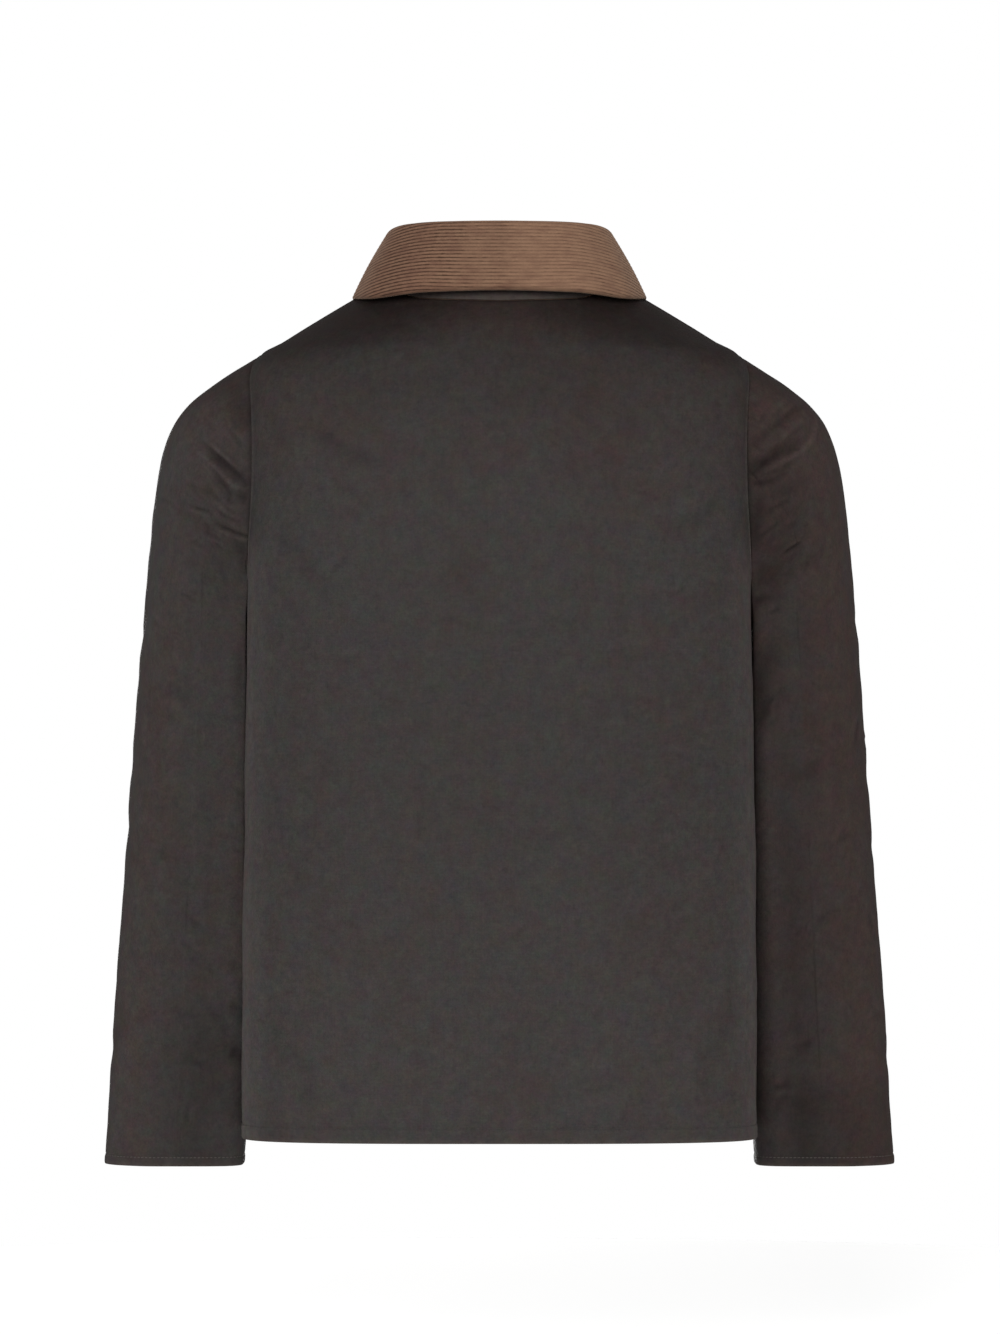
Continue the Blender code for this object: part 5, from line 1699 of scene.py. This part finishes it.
def hornMaterial():
    material, tree, shader = startMaterial("darkHorn", 0.35)
    coords = addNode(tree, "ShaderNodeTexCoord").outputs["Object"]
    streak = noiseField(tree, coords, 1.0, 4.0, 0.6, stretch=(420, 420, 110))
    cloud = calc(tree, "MULTIPLY", noiseField(tree, coords, 60.0), 0.3)
    share = calc(tree, "ADD", between01(tree, streak, 0.42, 0.68), cloud, clamp=True)
    colour = mixColour(tree, share, (0.014, 0.009, 0.006, 1), (0.075, 0.044, 0.026, 1))
    tree.links.new(colour, shader.inputs["Base Color"])
    tree.links.new(calc(tree, "MULTIPLY_ADD", streak, 0.24, 0.34), shader.inputs["Roughness"])
    giveRelief(tree, shader, streak, 0.00008)
    return material


threadLook = {"hem": (0.030, 0.026, 0.025), "cuff": (0.080, 0.070, 0.063), "button": (0.040, 0.033, 0.028)}


def threadMaterial(name, colour):
    material, tree, shader = startMaterial(name, 0.35)
    strand = noiseField(tree, addNode(tree, "ShaderNodeTexCoord").outputs["Object"], 2600.0)
    shade = scaled(tree, colour, calc(tree, "MULTIPLY_ADD", strand, 0.9, 0.55))
    tree.links.new(shade, shader.inputs["Base Color"])
    shader.inputs["Roughness"].default_value = 0.62
    giveRelief(tree, shader, strand, 0.00012)
    return material


# Camera, lights and floor
studio = {
    "cameraX": -0.0004, "cameraHeight": -0.2863, "cameraDistance": 4.5, "pictureHeight": 1.0405,
    "floor": -0.86, "floorSize": 2.6, "floorLift": 0.50,
    "backdrop": 1.0, "sky": 0.33, "aim": (0, 0, -0.32),
    # place, size and power of each soft light
    "lights": {
        "key": ((0.50, 5.0, 0.7), 1.3, 184.0),
        "fill": ((0.5, -5.0, -0.45), 1.7, 135.0),
        "left": ((4.6, 0.6, -0.25), 2.2, 28.0),
        "right": ((-4.6, 1.2, -0.25), 2.2, 38.0),
    },
}


def makeArea(name, place, size, power):
    lamp = bpy.data.lights.new(name, "AREA")
    lamp.size = size
    lamp.energy = power
    made = newPiece(name, lamp)
    made.location = place
    made.rotation_euler = (Vector(studio["aim"]) - Vector(place)).to_track_quat("-Z", "Y").to_euler()


def makeStudio():
    st = studio
    scene = bpy.context.scene
    lens = bpy.data.cameras.new("camera")
    lens.sensor_width = 36.0
    lens.lens = 36.0 * st["cameraDistance"] / st["pictureHeight"]
    camera = newPiece("camera", lens)
    camera.location = (st["cameraX"], st["cameraDistance"], st["cameraHeight"])
    camera.rotation_euler = (math.radians(90), 0, math.radians(180))
    scene.camera = camera

    world = bpy.data.worlds.new("studio")
    scene.world = world
    world.use_nodes = True
    tree = world.node_tree
    tree.nodes.clear()
    seen = addNode(tree, "ShaderNodeBackground", {"Color": (1, 1, 1, 1), "Strength": st["backdrop"]})
    sky = addNode(tree, "ShaderNodeBackground", {"Color": (1, 1, 1, 1), "Strength": st["sky"]})
    path = addNode(tree, "ShaderNodeLightPath")
    both = addNode(tree, "ShaderNodeMixShader",
                   {0: path.outputs["Is Camera Ray"], 1: sky.outputs[0], 2: seen.outputs[0]})
    out = addNode(tree, "ShaderNodeOutputWorld")
    tree.links.new(both.outputs[0], out.inputs["Surface"])

    for name, (place, size, power) in st["lights"].items():
        makeArea(name, place, size, power)

    deselectAll()
    bpy.ops.mesh.primitive_circle_add(vertices=96, radius=st["floorSize"] / 2, fill_type="NGON",
                                      location=(0, 0, st["floor"]))
    floor = bpy.context.object
    floor.name = "floor"
    bpy.ops.object.transform_apply(location=True)
    material, tree, shader = startMaterial("paleFloor", 0.1)
    shader.inputs["Base Color"].default_value = (0.93, 0.93, 0.925, 1)
    shader.inputs["Roughness"].default_value = 0.9
    shader.inputs["Emission Color"].default_value = (1, 1, 1, 1)
    path = addNode(tree, "ShaderNodeLightPath")
    lift = calc(tree, "MULTIPLY", path.outputs["Is Camera Ray"], st["floorLift"])
    tree.links.new(lift, shader.inputs["Emission Strength"])
    floor.data.materials.append(material)
    scene.view_settings.view_transform = "Standard"
    scene.view_settings.look = "None"


def give(piece, material, node=None):
    piece.data.materials.clear()
    piece.data.materials.append(material)
    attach(piece, "root")
    if node:
        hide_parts(node)


waxed = waxedMaterial()
corduroy = corduroyMaterial()
horn = hornMaterial()
threads = {use: threadMaterial(use + "Thread", colour) for use, colour in threadLook.items()}
print("materials made")

panels = makePanels()
for name, (piece, _) in panels.items():
    give(piece, waxed, name)
print("body panels made")

sleeves = makeSleeves()
for name, (piece, _) in sleeves.items():
    give(piece, waxed, name)
print("sleeves made")

collar = makeCollar()
give(collar, corduroy, "collar_fall")
stand = makeStand()
give(stand, waxed, "collar_stand")
print("collar made:", len(collar.data.polygons), "faces")

stitchShape = makeStitchShape()
sewnOn = {name: [] for name in list(panels) + list(sleeves)}
for name, (_, grid) in panels.items():
    line, outward = lineInGrid(grid, lengthAlong(grid, 0), finish["hemDepth"])
    hem = makeStitches(name + "_hem_stitches", line, outward, stitchShape)
    give(hem, threads["hem"])
    sewnOn[name].append(hem)
for name, (_, grid) in sleeves.items():
    fromCuff = lengthAlong(grid, 0)
    fromCuff = (fromCuff[-1:] - fromCuff)[::-1]
    line, outward = lineInGrid(grid[::-1], fromCuff, finish["cuffDepth"])
    cuff = makeStitches(name + "_cuff_stitches", line, -outward, stitchShape, closed=True)
    give(cuff, threads["cuff"])
    sewnOn[name].append(cuff)
lapGrid = np.swapaxes(panels["front_left"][1], 0, 1)
line, outward = lineInGrid(lapGrid, lengthAlong(lapGrid, 0), thread["lapInset"])
lap = makeStitches("lap_stitches", line[4:-3], -outward[4:-3], stitchShape)
give(lap, threads["hem"])
sewnOn["front_left"].append(lap)
print("stitches made")

buttons, buttonThreads, buttonholes = makeButtons(panels["front_left"][0])
for k, button in enumerate(buttons):
    give(button, horn, f"button_{k + 1}")
give(buttonThreads, threads["button"])
give(buttonholes, threads["button"])
sewnOn["front_left"] += [buttonholes, buttonThreads] + buttons
print("buttons made")

# What of each cut shows: width and length laid flat, area, and what it is sewn to.
# A sleeve's width is all round.
cuts = {
    "back": ((0.582, 0.789), 0.343, ["front_left_cloth", "front_right_cloth", "stand_cloth"]),
    "front_left": ((0.294, 0.799), 0.166, ["back_cloth", "front_right_cloth", "stand_cloth"]),
    "front_right": ((0.294, 0.799), 0.166, ["back_cloth", "stand_cloth"]),
    "sleeve_left": ((0.549, 0.684), 0.213, ["back_cloth", "front_left_cloth"]),
    "sleeve_right": ((0.549, 0.684), 0.213, ["back_cloth", "front_right_cloth"]),
}
for name, (flat, area, sewnTo) in cuts.items():
    piece = (panels.get(name) or sleeves.get(name))[0]

makeStudio()
print("studio made")
